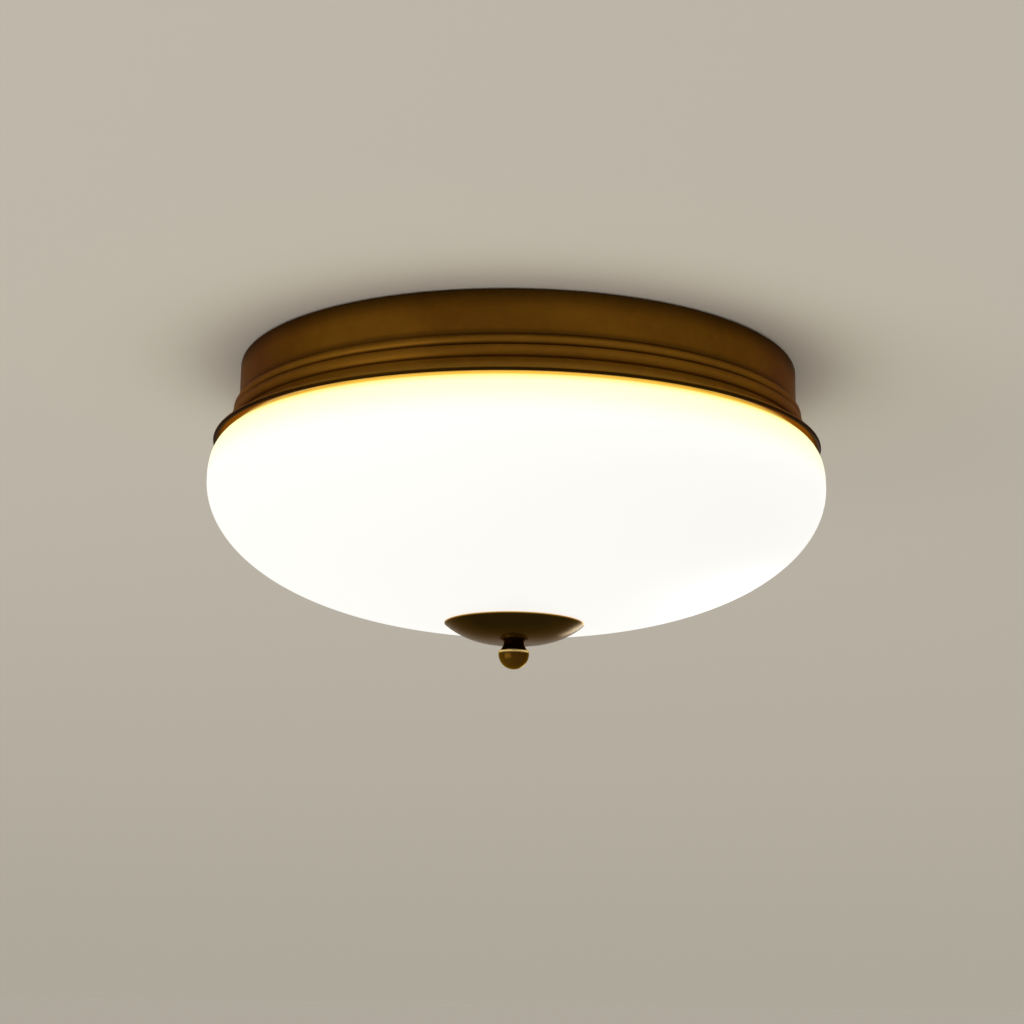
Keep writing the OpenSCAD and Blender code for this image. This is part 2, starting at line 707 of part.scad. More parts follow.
module glass_bowl() {
    outer = bowl_outline();
    inner = beside(outer, -glass_t);
    last = len(outer) - 1;
    lip_c = (outer[0] + inner[0]) / 2;
    lip_a = atan2(inner[0][1] - outer[0][1], inner[0][0] - outer[0][0]);
    color([1, 0.98, 0.94]) rotate_extrude($fn = 180) polygon(concat(
        [for (i = [0:last - 1]) outer[i]],
        [[bowl_hole_r, outer[last][1]], [bowl_hole_r, inner[last][1]]],
        reversed([for (i = [0:last - 1]) inner[i]]),
        arc(lip_c, glass_t / 2, lip_a, lip_a - 180, 8)
    ));
}

// Nylon bushing that keeps the stem off the edge of the glass
module bowl_bushing() {
    in_z = bowl_low_z + glass_t + 0.15;
    color([0.9, 0.9, 0.88]) rotate_extrude() polygon([
        [stem_r + 0.3, bowl_low_z - 0.6], [bowl_hole_r - hole_fit, bowl_low_z - 0.6],
        [bowl_hole_r - hole_fit, in_z], [bowl_hole_r + 3.5, in_z],
        [bowl_hole_r + 3.5, in_z + 1], [bowl_hole_r + 3, in_z + 1.5], [stem_r + 0.3, in_z + 1.5]
    ]);
}

// Shallow spun dish that carries the bowl
module cap_dish() {
    hole_r = stem_r + 0.3;
    in_r = cap_r - 1.5;
    color([0.42, 0.29, 0.1]) rotate_extrude($fn = 128) polygon(concat(
        [[hole_r, cap_flat_z], [cap_flat_r, cap_flat_z]],
        [for (i = [1:20]) let (r = cap_flat_r + (cap_r - cap_flat_r) * i / 20) [r, cap_outer_z(r)]],
        [[cap_r - 0.3, cap_rim_z + 0.25], [cap_r - 1.2, cap_rim_z + 0.25]],
        [for (i = [0:16]) let (r = in_r + (cap_flat_r - in_r) * i / 16) [r, above_cap_z(r, sheet_t)]],
        [[hole_r, cap_flat_z + sheet_t]]
    ));
}

// Soft ring between the cap's rim and the glass
module cap_seal_ring() {
    out_r = cap_r - sheet_t - 1.2;
    in_r = out_r - 4.5;
    rs = [for (i = [0:4]) in_r + (out_r - in_r) * i / 4];
    color([0.2, 0.19, 0.18]) rotate_extrude($fn = 128) polygon(concat(
        [for (r = rs) [r, above_cap_z(r, sheet_t + run_fit)]],
        reversed([for (r = rs) [r, bowl_outer_z(r) - soft_gap]])
    ));
}

// Turned finial: flared neck, bevelled shoulder and ball, on a blind threaded bore
module finial() {
    neck_r = ball_r * 0.67;
    flare_r = ball_r * 0.9;
    shoulder_r = ball_r * 0.985;
    shoulder_z = finial_top_z - neck_h;
    color([0.5, 0.36, 0.13]) difference() {
        rotate_extrude($fn = 128) polygon(concat(
            [[0, finial_top_z], [neck_r - 0.2, finial_top_z]],
            [for (i = [0:8]) let (t = i / 8)
                [neck_r + (flare_r - neck_r) * pow(t, 1.4), finial_top_z - 0.2 - (neck_h - 0.2) * t]],
            [[shoulder_r - 0.15, shoulder_z], [shoulder_r, shoulder_z - 0.15]],
            arc([0, ball_z], ball_r, 2, -85, 18),
            [[0, ball_z - ball_r * sin(85)]]
        ));
        translate([0, 0, finial_bore_z])
            cylinder(r = stem_r + run_fit, h = finial_top_z - finial_bore_z + 1);
    }
}

ceiling_pan();
insulation_pad();
mounting_strap();
pan_screws();
rim_gasket();
stem();
stem_nuts();
stem_lock_washer();
lampholder_bridge();
lampholder_body(1);  // lampholder_body_1
lampholder_body(2);  // lampholder_body_2
lampholder_shell(1);  // lampholder_shell_1
lampholder_shell(2);  // lampholder_shell_2
lampholder_contact(1);  // lampholder_contact_1
lampholder_contact(2);  // lampholder_contact_2
lampholder_screws();
terminal_block();
terminal_sleeves();
terminal_screws();
terminal_block_screw();
cable_grommet();
earth_screw();
earth_eyelet();
live_wires();
neutral_wires();
earth_wire();
bulb_glass(1);  // bulb_glass_1
bulb_screw_cap(1);  // bulb_screw_cap_1
bulb_insulator(1);  // bulb_insulator_1
bulb_contact(1);  // bulb_contact_1
bulb_glass(2);  // bulb_glass_2
bulb_screw_cap(2);  // bulb_screw_cap_2
bulb_insulator(2);  // bulb_insulator_2
bulb_contact(2);  // bulb_contact_2
glass_bowl();
bowl_bushing();
cap_dish();
cap_seal_ring();
finial();
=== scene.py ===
# Flush ceiling light with an opal bowl: finishes, fine pieces, ceiling, floor, lamps and camera
import math
import bpy
import bmesh
from mathutils import Matrix, Vector


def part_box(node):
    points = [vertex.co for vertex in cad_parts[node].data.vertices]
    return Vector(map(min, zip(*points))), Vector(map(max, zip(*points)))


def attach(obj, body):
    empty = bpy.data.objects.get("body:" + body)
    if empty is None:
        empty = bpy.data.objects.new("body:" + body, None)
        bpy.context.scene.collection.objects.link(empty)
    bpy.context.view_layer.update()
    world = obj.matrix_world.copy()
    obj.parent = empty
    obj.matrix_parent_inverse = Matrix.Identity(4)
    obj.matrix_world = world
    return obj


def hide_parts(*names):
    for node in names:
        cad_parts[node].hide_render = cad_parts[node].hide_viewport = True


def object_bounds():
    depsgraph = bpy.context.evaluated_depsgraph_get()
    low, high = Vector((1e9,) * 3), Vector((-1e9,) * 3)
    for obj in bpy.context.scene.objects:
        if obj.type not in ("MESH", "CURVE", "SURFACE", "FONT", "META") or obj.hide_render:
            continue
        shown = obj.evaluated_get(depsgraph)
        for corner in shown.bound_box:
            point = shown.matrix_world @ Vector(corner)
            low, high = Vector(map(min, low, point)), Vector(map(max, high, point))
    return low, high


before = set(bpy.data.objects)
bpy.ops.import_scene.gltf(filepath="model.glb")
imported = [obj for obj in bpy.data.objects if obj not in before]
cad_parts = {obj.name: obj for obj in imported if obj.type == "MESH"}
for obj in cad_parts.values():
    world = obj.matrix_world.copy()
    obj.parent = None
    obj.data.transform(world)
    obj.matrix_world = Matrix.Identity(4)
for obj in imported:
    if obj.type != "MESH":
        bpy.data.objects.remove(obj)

cadLow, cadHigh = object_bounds()
mm = 0.001
print("frame loaded,", len(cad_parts), "nodes")


# Shader sockets that take arithmetic: an expression on them adds its own Math nodes

class Signal:
    def __init__(self, finish, socket):
        self.finish = finish
        self.socket = socket

    def math(self, operation, *others):
        return self.finish.math(operation, self, *others)

    def __add__(self, other):
        return self.math("ADD", other)

    def __sub__(self, other):
        return self.math("SUBTRACT", other)

    def __rsub__(self, other):
        return self.finish.math("SUBTRACT", other, self)

    def __mul__(self, other):
        return self.math("MULTIPLY", other)

    def __truediv__(self, other):
        return self.math("DIVIDE", other)

    def __rtruediv__(self, other):
        return self.finish.math("DIVIDE", other, self)

    def __pow__(self, other):
        return self.math("POWER", other)

    def __rpow__(self, other):
        return self.finish.math("POWER", other, self)

    __radd__, __rmul__ = __add__, __mul__

    def within(self, low, high):  # 0 at low, 1 at high, smooth between
        return self.finish.node(
            "ShaderNodeMapRange", {"interpolation_type": "SMOOTHSTEP"},
            {"Value": self, "From Min": low, "From Max": high})

    def near(self, centre, width):  # 1 at centre, fading to 0 a width away
        return 1 - (self - centre).math("ABSOLUTE").within(0.0, width)


class Finish:
    # One shader tree. node() takes a node's type, its settings, its sockets' values or links,
    # and which output to give back
    def __init__(self, name, tree=None):
        self.material = None
        if tree is None:
            self.material = bpy.data.materials.new(name)
            self.material.use_nodes = True
            tree = self.material.node_tree
        self.tree = tree
        self.tree.nodes.clear()
        self.place = None

    def node(self, kind, settings=None, sockets=None, output=0):
        made = self.tree.nodes.new(kind)
        for key, value in (settings or {}).items():
            setattr(made, key, value)
        named = sockets.items() if isinstance(sockets, dict) else enumerate(sockets or [])
        for key, value in named:
            self.feed(made.inputs[key], value)
        return Signal(self, made.outputs[output]) if made.outputs else made

    def feed(self, socket, value):
        if isinstance(value, Signal):
            self.tree.links.new(value.socket, socket)
        elif isinstance(value, tuple) and socket.type == "RGBA":
            socket.default_value = (*value, 1.0)
        else:
            socket.default_value = value

    def math(self, operation, *values):
        return self.node("ShaderNodeMath", {"operation": operation}, values)

    def coordinates(self):
        if self.place is None:
            self.place = self.node("ShaderNodeTexCoord", output="Object")
        return self.place

    def split(self, vector):
        x = self.node("ShaderNodeSeparateXYZ", None, [vector])
        return [Signal(self, output) for output in x.socket.node.outputs]

    def facesAxis(self):  # 1 on a bowl's inner face, 0 on its outer one
        upShare, blur = 0.02, 0.002
        outward = self.split(self.node("ShaderNodeNewGeometry", output="Normal"))
        place = self.split(self.coordinates())
        inward = 0 - outward[0] * place[0] - outward[1] * place[1] + outward[2] * upShare
        return inward.within(-blur, blur)

    def join(self, x, y, z):
        return self.node("ShaderNodeCombineXYZ", None, [x, y, z])

    def noise(self, scale, detail=3.0, roughness=0.55, vector=None):
        return self.node("ShaderNodeTexNoise", None, {
            "Vector": vector or self.coordinates(), "Scale": scale, "Detail": detail, "Roughness": roughness})

    def cells(self, scale):  # one random tone for each cell
        sockets = {"Vector": self.coordinates(), "Scale": scale}
        return self.split(self.node("ShaderNodeTexVoronoi", None, sockets, "Color"))[0]

    def blend(self, factor, first, second):
        return self.node(
            "ShaderNodeMix", {"data_type": "RGBA"}, {0: factor, 6: first, 7: second}, 2)

    def bump(self, height, strength, distance):
        return self.node("ShaderNodeBump", None, {
            "Height": height, "Strength": strength, "Distance": distance})

    def surface(self, sockets):
        shader = self.node("ShaderNodeBsdfPrincipled", None, sockets)
        self.node("ShaderNodeOutputMaterial", None, {"Surface": shader})
        return self.material


# Finishes

def agedBronze(name, look):
    # Spun or turned bronze under satin lacquer: marks along the section, cloudy patina, and tones by level,
    # which paint shade, highlights and reflections onto the metal as well as grime and wear.
    # Bands are (level, reach, share, tone) and ramps are (level with none, level with all, share, tone),
    # levels and reach in millimetres
    finish = Finish(name)
    x, y, z = finish.split(finish.coordinates())
    radius = (x * x + y * y + 1e-9) ** 0.5
    along = (radius + z) * (1 / look["markSpacing"])
    marks = finish.noise(1.0, 2.0, 0.6, finish.join(along, x / radius * 2, y / radius * 2))
    fineMarks = finish.noise(1.0, 1.0, 0.5, finish.join(along * 3.7, x / radius * 5, y / radius * 5))
    clouds = finish.noise(look["cloudScale"], 4.0, 0.6)
    mottle = finish.noise(look["cloudScale"] * 9, 5.0, 0.65)
    colour = finish.blend(clouds.within(0.3, 0.7), look["dark"], look["light"])
    colour = finish.blend(mottle.within(0.45, 0.75) * 0.35, colour, look["warm"])
    colour = finish.blend(marks.within(0.5, 0.8) * 0.25, colour, look["dark"])
    for level, reach, share, tone in look["bands"]:
        uneven = z.near(level * mm, reach * mm) * (0.8 + mottle * 0.4)
        colour = finish.blend(uneven * share, colour, look[tone])
    for none, full, share, tone in look["ramps"]:
        colour = finish.blend(z.within(none * mm, full * mm) * share, colour, look[tone])
    return finish.surface({
        "Base Color": colour, "Metallic": look["metal"], "Specular IOR Level": look["gloss"],
        "Specular Tint": look["glance"],
        "Roughness": look["roughness"] + mottle * 0.12 + marks * 0.08 - 0.1,
        "Normal": finish.bump(marks * 0.6 + fineMarks * 0.4, look["markDepth"], 0.00012)})


def opalGlass(name, look):
    # Lit opal glass whose glow is painted on as emission in place of the lamps' light through it: white all
    # over, painted yellower towards the rim, a honey-coloured painted glow in a thin line under it, and a
    # dimmer painted glow on its inner face. Ramps are (depth with none, depth with all, tone) under the rim
    finish = Finish(name)
    z = finish.split(finish.coordinates())[2]
    milk = finish.noise(14.0, 3.0, 0.5)
    glow = finish.blend(milk.within(0.35, 0.65) * 0.3, look["white"], look["milk"])
    for none, full, tone in look["ramps"]:
        glow = finish.blend(z.within((look["top"] - none) * mm, (look["top"] - full) * mm), glow, look[tone])
    glow = finish.blend(finish.facesAxis() * look["insideShare"], glow, look["inside"])
    # the base colour just under the rim is painted darker and yellower, with the painted glow there
    edge = z.within((look["top"] - look["edgeReach"]) * mm, look["top"] * mm)
    return finish.surface({
        "Base Color": finish.blend(edge, look["body"], look["bodyEdge"]), "Roughness": 0.38 + milk * 0.08,
        "Specular IOR Level": look["gloss"], "Emission Color": glow, "Emission Strength": 1.0,
        "Normal": finish.bump(finish.noise(22.0, 2.0, 0.4), 0.04, 0.002)})


def zincSheet(name, colour, grain):
    # Zinc-plated steel with faint spangle and rolling lines; grain is the lines' fineness along x, y and z
    finish = Finish(name)
    x, y, z = finish.split(finish.coordinates())
    spangle = finish.cells(260.0)
    lines = finish.noise(1.0, 2.0, 0.5, finish.join(x * grain[0], y * grain[1], z * grain[2]))
    dull = tuple(c * 0.72 for c in colour)
    tone = finish.blend(spangle * 0.35 + lines * 0.3, colour, dull)
    return finish.surface({
        "Base Color": tone, "Metallic": 1.0, "Roughness": 0.26 + lines * 0.16 + spangle * 0.08,
        "Normal": finish.bump(lines, 0.12, 0.00005)})


def machinedBrass(name, colour, roughness):
    # Bare metal with cloudy tarnish
    finish = Finish(name)
    tarnish = finish.noise(60.0, 4.0, 0.6)
    specks = finish.noise(900.0, 2.0, 0.5)
    dull = tuple(c * 0.55 for c in colour)
    tone = finish.blend(tarnish.within(0.42, 0.72) * 0.6, colour, dull)
    return finish.surface({
        "Base Color": tone, "Metallic": 1.0, "Roughness": roughness + tarnish * 0.14,
        "Normal": finish.bump(specks, 0.08, 0.00005)})


def glazedPorcelain(name, colour):
    finish = Finish(name)
    clouds = finish.noise(45.0, 3.0, 0.5)
    pits = finish.noise(650.0, 1.0, 0.4)
    shade = tuple(c * 0.9 for c in colour)
    tone = finish.blend(clouds.within(0.35, 0.7) * 0.6, colour, shade)
    pitTone = (0.35, 0.3, 0.24)
    tone = finish.blend(pits.within(0.74, 0.8) * 0.5, tone, pitTone)
    return finish.surface({
        "Base Color": tone, "Roughness": 0.2 + clouds * 0.1, "Coat Weight": 0.7, "Coat Roughness": 0.05,
        "Normal": finish.bump(clouds, 0.06, 0.0006)})


def moulded(name, colour, roughness, texture, lacquer=0.0):
    # Plastic, rubber and lead covers: a slight change of tone and a fine moulded texture
    finish = Finish(name)
    clouds = finish.noise(70.0, 3.0, 0.5)
    grain = finish.noise(texture, 2.0, 0.5)
    shade = tuple(c * 0.8 for c in colour)
    tone = finish.blend(clouds.within(0.35, 0.7) * 0.5, colour, shade)
    return finish.surface({
        "Base Color": tone, "Roughness": roughness + grain * 0.12, "Coat Weight": lacquer,
        "Normal": finish.bump(grain, 0.12, 0.0001)})


def fibrous(name, look):
    # Felt or glass wool: crossed fibres and soft lumps
    finish = Finish(name)
    x, y, z = finish.split(finish.coordinates())
    scale = look["fibreScale"]
    curl = finish.noise(look["lumpScale"] * 0.5, 2.0, 0.5) * look["curl"]
    x, y = x + curl, y + curl * 0.6 + x * 0.3
    fibresOne = finish.noise(1.0, 3.0, 0.6, finish.join(x * scale, y * scale * 0.16, z * scale))
    fibresTwo = finish.noise(1.0, 3.0, 0.6, finish.join(x * scale * 0.16, y * scale, z * scale))
    lumps = finish.noise(look["lumpScale"], 3.0, 0.6)
    fibres = fibresOne.math("MAXIMUM", fibresTwo)
    tone = finish.blend(lumps.within(0.3, 0.7), look["colour"], look["shade"])
    tone = finish.blend(fibres.within(0.5, 0.75) * 0.7, tone, look["strand"])
    return finish.surface({
        "Base Color": tone, "Roughness": 0.95, "Specular IOR Level": 0.2, "Sheen Weight": 0.25,
        "Normal": finish.bump(fibres * 0.6 + lumps * 0.4, look["relief"], 0.0008)})


def frostedBulb(name, look):
    finish = Finish(name)
    x = finish.split(finish.coordinates())[0]
    reach = x.math("ABSOLUTE").within(look["neck"] * mm, look["crown"] * mm)
    frost = finish.noise(700.0, 2.0, 0.5)
    glow = finish.blend(reach, look["neckGlow"], look["crownGlow"])
    return finish.surface({
        "Base Color": look["glass"], "Roughness": 0.42 + frost * 0.12, "Emission Color": glow,
        "Emission Strength": look["strength"], "Normal": finish.bump(frost, 0.08, 0.00006)})


def stripedLead(name, first, second):
    # Two-colour earth lead: the stripes cross it aslant
    finish = Finish(name)
    x, z = finish.split(finish.coordinates())[::2]
    wander = finish.noise(30.0, 1.0, 0.4)
    band = ((x + z * 2 + wander * 0.004) * 900).math("SINE")
    tone = finish.blend(band.within(-0.1, 0.25), first, second)
    return finish.surface({
        "Base Color": tone, "Roughness": 0.4,
        "Normal": finish.bump(finish.noise(900.0), 0.05, 0.00005)})


def darkVitreous(name):
    finish = Finish(name)
    clouds = finish.noise(220.0, 3.0, 0.5)
    return finish.surface({
        "Base Color": finish.blend(clouds, (0.012, 0.012, 0.014), (0.05, 0.045, 0.045)),
        "Roughness": 0.12 + clouds * 0.1, "Coat Weight": 0.5})


# Mesh making: outlines are lists of (radius, height) in millimetres

def arc(centre, radius, start, end, steps):
    points = []
    for k in range(steps + 1):
        turn = math.radians(start + (end - start) * k / steps)
        points.append((centre[0] + radius * math.cos(turn), centre[1] + radius * math.sin(turn)))
    return points


def beside(points, distance):  # a polyline moved to its left
    moved = []
    for k, point in enumerate(points):
        before = points[max(k - 1, 0)]
        after = points[min(k + 1, len(points) - 1)]
        run = (after[0] - before[0], after[1] - before[1])
        length = math.hypot(*run)
        moved.append((point[0] - run[1] / length * distance, point[1] + run[0] / length * distance))
    return moved


def finishMesh(name, vertices, faces, sharpAngle=35):
    mesh = bpy.data.meshes.new(name)
    mesh.from_pydata(vertices, [], faces)
    form = bmesh.new()
    form.from_mesh(mesh)
    bmesh.ops.recalc_face_normals(form, faces=form.faces)
    form.to_mesh(mesh)
    form.free()
    mesh.shade_smooth()
    mesh.set_sharp_from_angle(angle=math.radians(sharpAngle))
    return mesh


def lathe(name, outline, steps, place=None):
    # Turns a closed outline about the axis; points on the axis become one vertex
    vertices, rings, faces = [], [], []
    for radius, height in outline:
        if radius < 1e-6:
            rings.append([len(vertices)])
            vertices.append(Vector((0, 0, height * mm)))
            continue
        rings.append(list(range(len(vertices), len(vertices) + steps)))
        for k in range(steps):
            turn = 2 * math.pi * k / steps
            vertices.append(Vector((radius * math.cos(turn), radius * math.sin(turn), height)) * mm)
    for k, ring in enumerate(rings):
        other = rings[(k + 1) % len(rings)]
        if len(ring) == 1 and len(other) == 1:
            continue
        for j in range(steps):
            n = (j + 1) % steps
            if len(ring) == 1:
                faces.append((ring[0], other[j], other[n]))
            elif len(other) == 1:
                faces.append((ring[j], other[0], ring[n]))
            else:
                faces.append((ring[j], other[j], other[n], ring[n]))
    if place is not None:
        vertices = [place @ v for v in vertices]
    return finishMesh(name, vertices, faces)


def threadSkin(radiusAt, low, high, pitch, around, perTurn):
    # Rings of (radius, turn, height) whose radius follows a helix of the given pitch
    rows = int(round((high - low) / pitch * perTurn))
    rings = []
    for j in range(rows + 1):
        height = low + (high - low) * j / rows
        ring = []
        for k in range(around):
            phase = (height / pitch - k / around) % 1.0
            ring.append((radiusAt(height, phase), 2 * math.pi * k / around, height))
        rings.append(ring)
    return rings


def skinMesh(name, rings, place=None, closed=False, sharpAngle=35):
    # Joins rings of (radius, turn, height) one after another, with flat ends or as a closed loop of rings
    vertices, faces = [], []
    around = len(rings[0])
    for ring in rings:
        for radius, turn, height in ring:
            vertices.append(Vector((radius * math.cos(turn), radius * math.sin(turn), height)) * mm)
    for j in range(len(rings) - (0 if closed else 1)):
        low = j * around
        high = ((j + 1) % len(rings)) * around
        for k in range(around):
            n = (k + 1) % around
            faces.append((low + k, low + n, high + n, high + k))
    if not closed:
        faces.append(tuple(range(around)))
        faces.append(tuple(range(len(vertices) - around, len(vertices))))
    if place is not None:
        vertices = [place @ v for v in vertices]
    return finishMesh(name, vertices, faces, sharpAngle)


def newPiece(name, mesh, body, slot, material, *replaced):
    piece = bpy.data.objects.new(name, mesh)
    bpy.context.scene.collection.objects.link(piece)
    mesh.materials.clear()
    mesh.materials.append(material)
    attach(piece, body)
    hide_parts(*replaced)
    return piece


def refinish(material, *nodes):
    for node in nodes:
        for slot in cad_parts[node].material_slots:
            slot.material = material


def cutAway(piece, cutters):
    # Takes the cutters' shapes out of a piece and leaves no modifier behind
    for cutter in cutters:
        hole = piece.modifiers.new("hole", "BOOLEAN")
        hole.operation = "DIFFERENCE"
        hole.solver = "EXACT"
        hole.object = cutter
    bpy.context.view_layer.update()
    graph = bpy.context.evaluated_depsgraph_get()
    cut = bpy.data.meshes.new_from_object(piece.evaluated_get(graph))
    material = piece.data.materials[0]
    piece.modifiers.clear()
    piece.data = cut
    cut.materials.clear()
    cut.materials.append(material)
    cut.shade_smooth()
    cut.set_sharp_from_angle(angle=math.radians(30))
    for cutter in cutters:
        bpy.data.objects.remove(cutter)


def span(node):  # lowest and highest corners of a node, in millimetres
    low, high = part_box(node)
    return low / mm, high / mm


# The ceiling pan: one spun sheet

panLow, panHigh = span("ceiling_pan")
pan = {
    "sheet": 1.0, "recess": 12.0, "seatWidth": 13.0, "seatRun": 8.0, "topRound": 2.0,
    "wallIn": 13.8, "wallHeight": 24.0, "groove": 0.5, "beadRadius": 2.7, "beadOut": 0.4,
    "beadSweep": (78, -74), "beadInside": (-40, 60), "notchOut": 1.4, "notchDrop": 0.3,
    "bandHeight": 5.8, "bandCurve": 5.0, "bandOut": -0.8, "bandDrop": 0.2, "bandInsideShort": 16,
    "coveRadius": 7.2, "coveIn": 2.4, "lipDrop": 0.5, "hem": 1.25, "hemSweep": (84, -165), "grooveDrop": 0.4,
    "grooveEase": ((0, 0.3), (0.8, -0.2), (1, -0.5)),  # shares of the groove, and levels at the wall's foot
    "notchEase": ((-0.15, 0.05), (0, -0.1)), "around": 320,
}
panRadius = panHigh.x - pan["wallIn"]
baseTop = panHigh.z - pan["recess"]
baseLow = baseTop - pan["sheet"]


def panOutline():
    p = pan
    r = panRadius
    seatIn = r - p["seatWidth"]
    baseRadius = seatIn - p["seatRun"]
    bead = -(p["wallHeight"] + 2 * p["groove"] + p["beadRadius"])
    notch = bead - p["beadRadius"] - p["notchDrop"]
    band = notch - p["bandDrop"] - p["bandHeight"] / 2
    bandAngle = math.degrees(math.asin(p["bandHeight"] / 2 / p["bandCurve"]))
    coveZ = band - p["bandHeight"] / 2 - p["groove"]
    cove = (r + p["coveIn"] + p["coveRadius"], coveZ)
    hem = (panHigh.x - p["hem"], coveZ - p["coveRadius"] - p["lipDrop"] - p["hem"])
    t = p["sheet"]
    mitre = t * (math.hypot(p["seatRun"], p["recess"]) - p["seatRun"]) / p["recess"]
    outer = [(0, baseTop), (baseRadius * 0.5, baseTop), (baseRadius, baseTop), (seatIn, 0)]
    outer += arc((r - p["topRound"], -p["topRound"]), p["topRound"], 90, 0, 12)
    outer += [(r, -p["wallHeight"] * 0.5)]
    outer += [(r - p["groove"] * share, -p["wallHeight"] + lift) for share, lift in p["grooveEase"]]
    outer += arc((r + p["beadOut"], bead), p["beadRadius"], *p["beadSweep"], 28)
    outer += [(r + p["notchOut"] + out, notch + lift) for out, lift in p["notchEase"]]
    outer += arc((r + p["bandOut"], band), p["bandCurve"], bandAngle, -bandAngle, 18)
    outer += arc(cove, p["coveRadius"], 180, 270, 28)
    outer += arc(hem, p["hem"], *p["hemSweep"], 30)
    inner = arc(cove, p["coveRadius"] + t, 270, 180, 20)
    bandInside = bandAngle - p["bandInsideShort"]
    inner += arc((r + p["bandOut"], band), p["bandCurve"] - t, -bandAngle, bandInside, 10)
    inner += [(r + p["notchOut"] - t, notch)]
    inner += arc((r + p["beadOut"], bead), p["beadRadius"] - t, *p["beadInside"], 12)
    inner += [(r - t, -p["wallHeight"] - p["groove"])]
    inner += arc((r - p["topRound"], -p["topRound"]), p["topRound"] - t, 0, 90, 8)
    inner += [(seatIn + mitre, -t), (baseRadius + mitre, baseLow), (baseRadius * 0.5, baseLow), (0, baseLow)]
    groove = -p["wallHeight"] - p["grooveDrop"]
    return outer + inner, {"groove": groove, "bead": bead, "band": band, "coveTop": coveZ}


cutterSpare = 2.0  # how far a cutter goes past what it cuts


def post(name, radius, x, y, top=baseTop):  # an upright cutter through the base, or what lies on it
    place = Matrix.Translation((x * mm, y * mm, 0))
    low, high = baseLow - cutterSpare, top + cutterSpare
    outline = [(0, low), (radius, low), (radius, high), (0, high)]
    cutter = bpy.data.objects.new(name, lathe(name, outline, 48, place))
    bpy.context.scene.collection.objects.link(cutter)
    return cutter


def keyway(name, radius, halfWidth, start, turn):  # a curved slot between the two ends of a keyhole
    vertices, faces = [], []
    steps = 10
    low, high = baseLow - cutterSpare, baseTop + cutterSpare
    inside, outside = radius - halfWidth, radius + halfWidth
    for k in range(steps + 1):
        a = math.radians(start + turn * k / steps)
        for r, z in ((inside, low), (outside, low), (outside, high), (inside, high)):
            vertices.append(Vector((r * math.cos(a), r * math.sin(a), z)) * mm)
    for k in range(steps):
        for j in range(4):
            a, b = 4 * k + j, 4 * k + (j + 1) % 4
            faces.append((a, b, b + 4, a + 4))
    faces.append((0, 1, 2, 3))
    faces.append((4 * steps, 4 * steps + 1, 4 * steps + 2, 4 * steps + 3))
    cutter = bpy.data.objects.new(name, finishMesh(name, vertices, faces))
    bpy.context.scene.collection.objects.link(cutter)
    return cutter


panPoints, levels = panOutline()
bronzeLook = {
    "dark": (0.115, 0.046, 0.004), "light": (0.165, 0.070, 0.006), "warm": (0.195, 0.075, 0.006),
    # On the line below: grime that also paints shade, then painted shade, then wear that also paints
    # highlights; the line after it starts with a painted reflection's tone
    "grimeAndShade": (0.060, 0.026, 0.003), "paintedShade": (0.012, 0.006, 0.001), "rubbedAndHighlight": (0.260, 0.120, 0.014),
    "bright": (0.340, 0.170, 0.022), "glance": (0.42, 0.26, 0.09), "gloss": 0.03, "metal": 0.6,
    "roughness": 0.38, "markSpacing": 0.0006, "markDepth": 0.10, "cloudScale": 14.0,
}
panLook = dict(
    bronzeLook,
    # Bands: grime and painted shade darken the groove at the wall's foot, and painted shade under the band's
    # overhang darkens the cove's top
    bands=[(levels["groove"] + 1.0, 3.0, 0.75, "grimeAndShade"), (levels["bead"] - 0.3, 2.4, 0.4, "rubbedAndHighlight"),
           # wear and a painted highlight lighten the bead and the band
           (levels["band"], 2.8, 0.3, "rubbedAndHighlight"), (levels["coveTop"] + 0.4, 1.2, 0.5, "grimeAndShade"),
           # a painted reflection of the lit glass lightens the cove's lower part
           (levels["coveTop"] - 6.0, 4.6, 0.8, "bright")],
    # Ramps: painted shade darkens the wall's top, where it meets the ceiling, and the rim's underside
    ramps=[(-13.0, 2.0, 0.9, "paintedShade"), (panLow.z + 1.9, panLow.z + 1.0, 0.9, "paintedShade")])
panBronze = agedBronze("spun pan bronze", panLook)
panMesh = lathe("pan_spinning", panPoints, pan["around"])
panPiece = newPiece("pan_spinning", panMesh, "fitting", "aged_bronze", panBronze, "ceiling_pan")
holes = {  # in the pan's base: radii, then the keyholes' turn in degrees and the pan screws' head radius
    "stem": 3.15, "grommet": 8.0, "blockScrew": 1.65, "earthScrew": 2.15, "keyWide": 5.0, "keyNarrow": 2.2,
    "keyTurn": 9.0, "screwHead": 4.0,
}
screwCircle = span("pan_screws")[1].y - holes["screwHead"]
grommetCentre, blockCentre, earthCentre = (
    sum(span(node), Vector()) / 2 for node in ("cable_grommet", "terminal_block_screw", "earth_screw"))
cutters = [post("stemHole", holes["stem"], 0, 0),
           post("cableHole", holes["grommet"], grommetCentre.x, grommetCentre.y),
           post("blockHole", holes["blockScrew"], blockCentre.x, blockCentre.y),
           post("earthHole", holes["earthScrew"], earthCentre.x, earthCentre.y)]
for start in (90, 270):
    for end, turn in (("keyWide", holes["keyTurn"]), ("keyNarrow", 0)):
        angle = math.radians(start + turn)
        cutters.append(post(f"{end}{start}", holes[end], screwCircle * math.cos(angle),
                            screwCircle * math.sin(angle)))
    cutters.append(keyway(f"keyway{start}", screwCircle, holes["keyNarrow"], start, holes["keyTurn"]))
cutAway(panPiece, cutters)
print("pan spun")


# The opal bowl

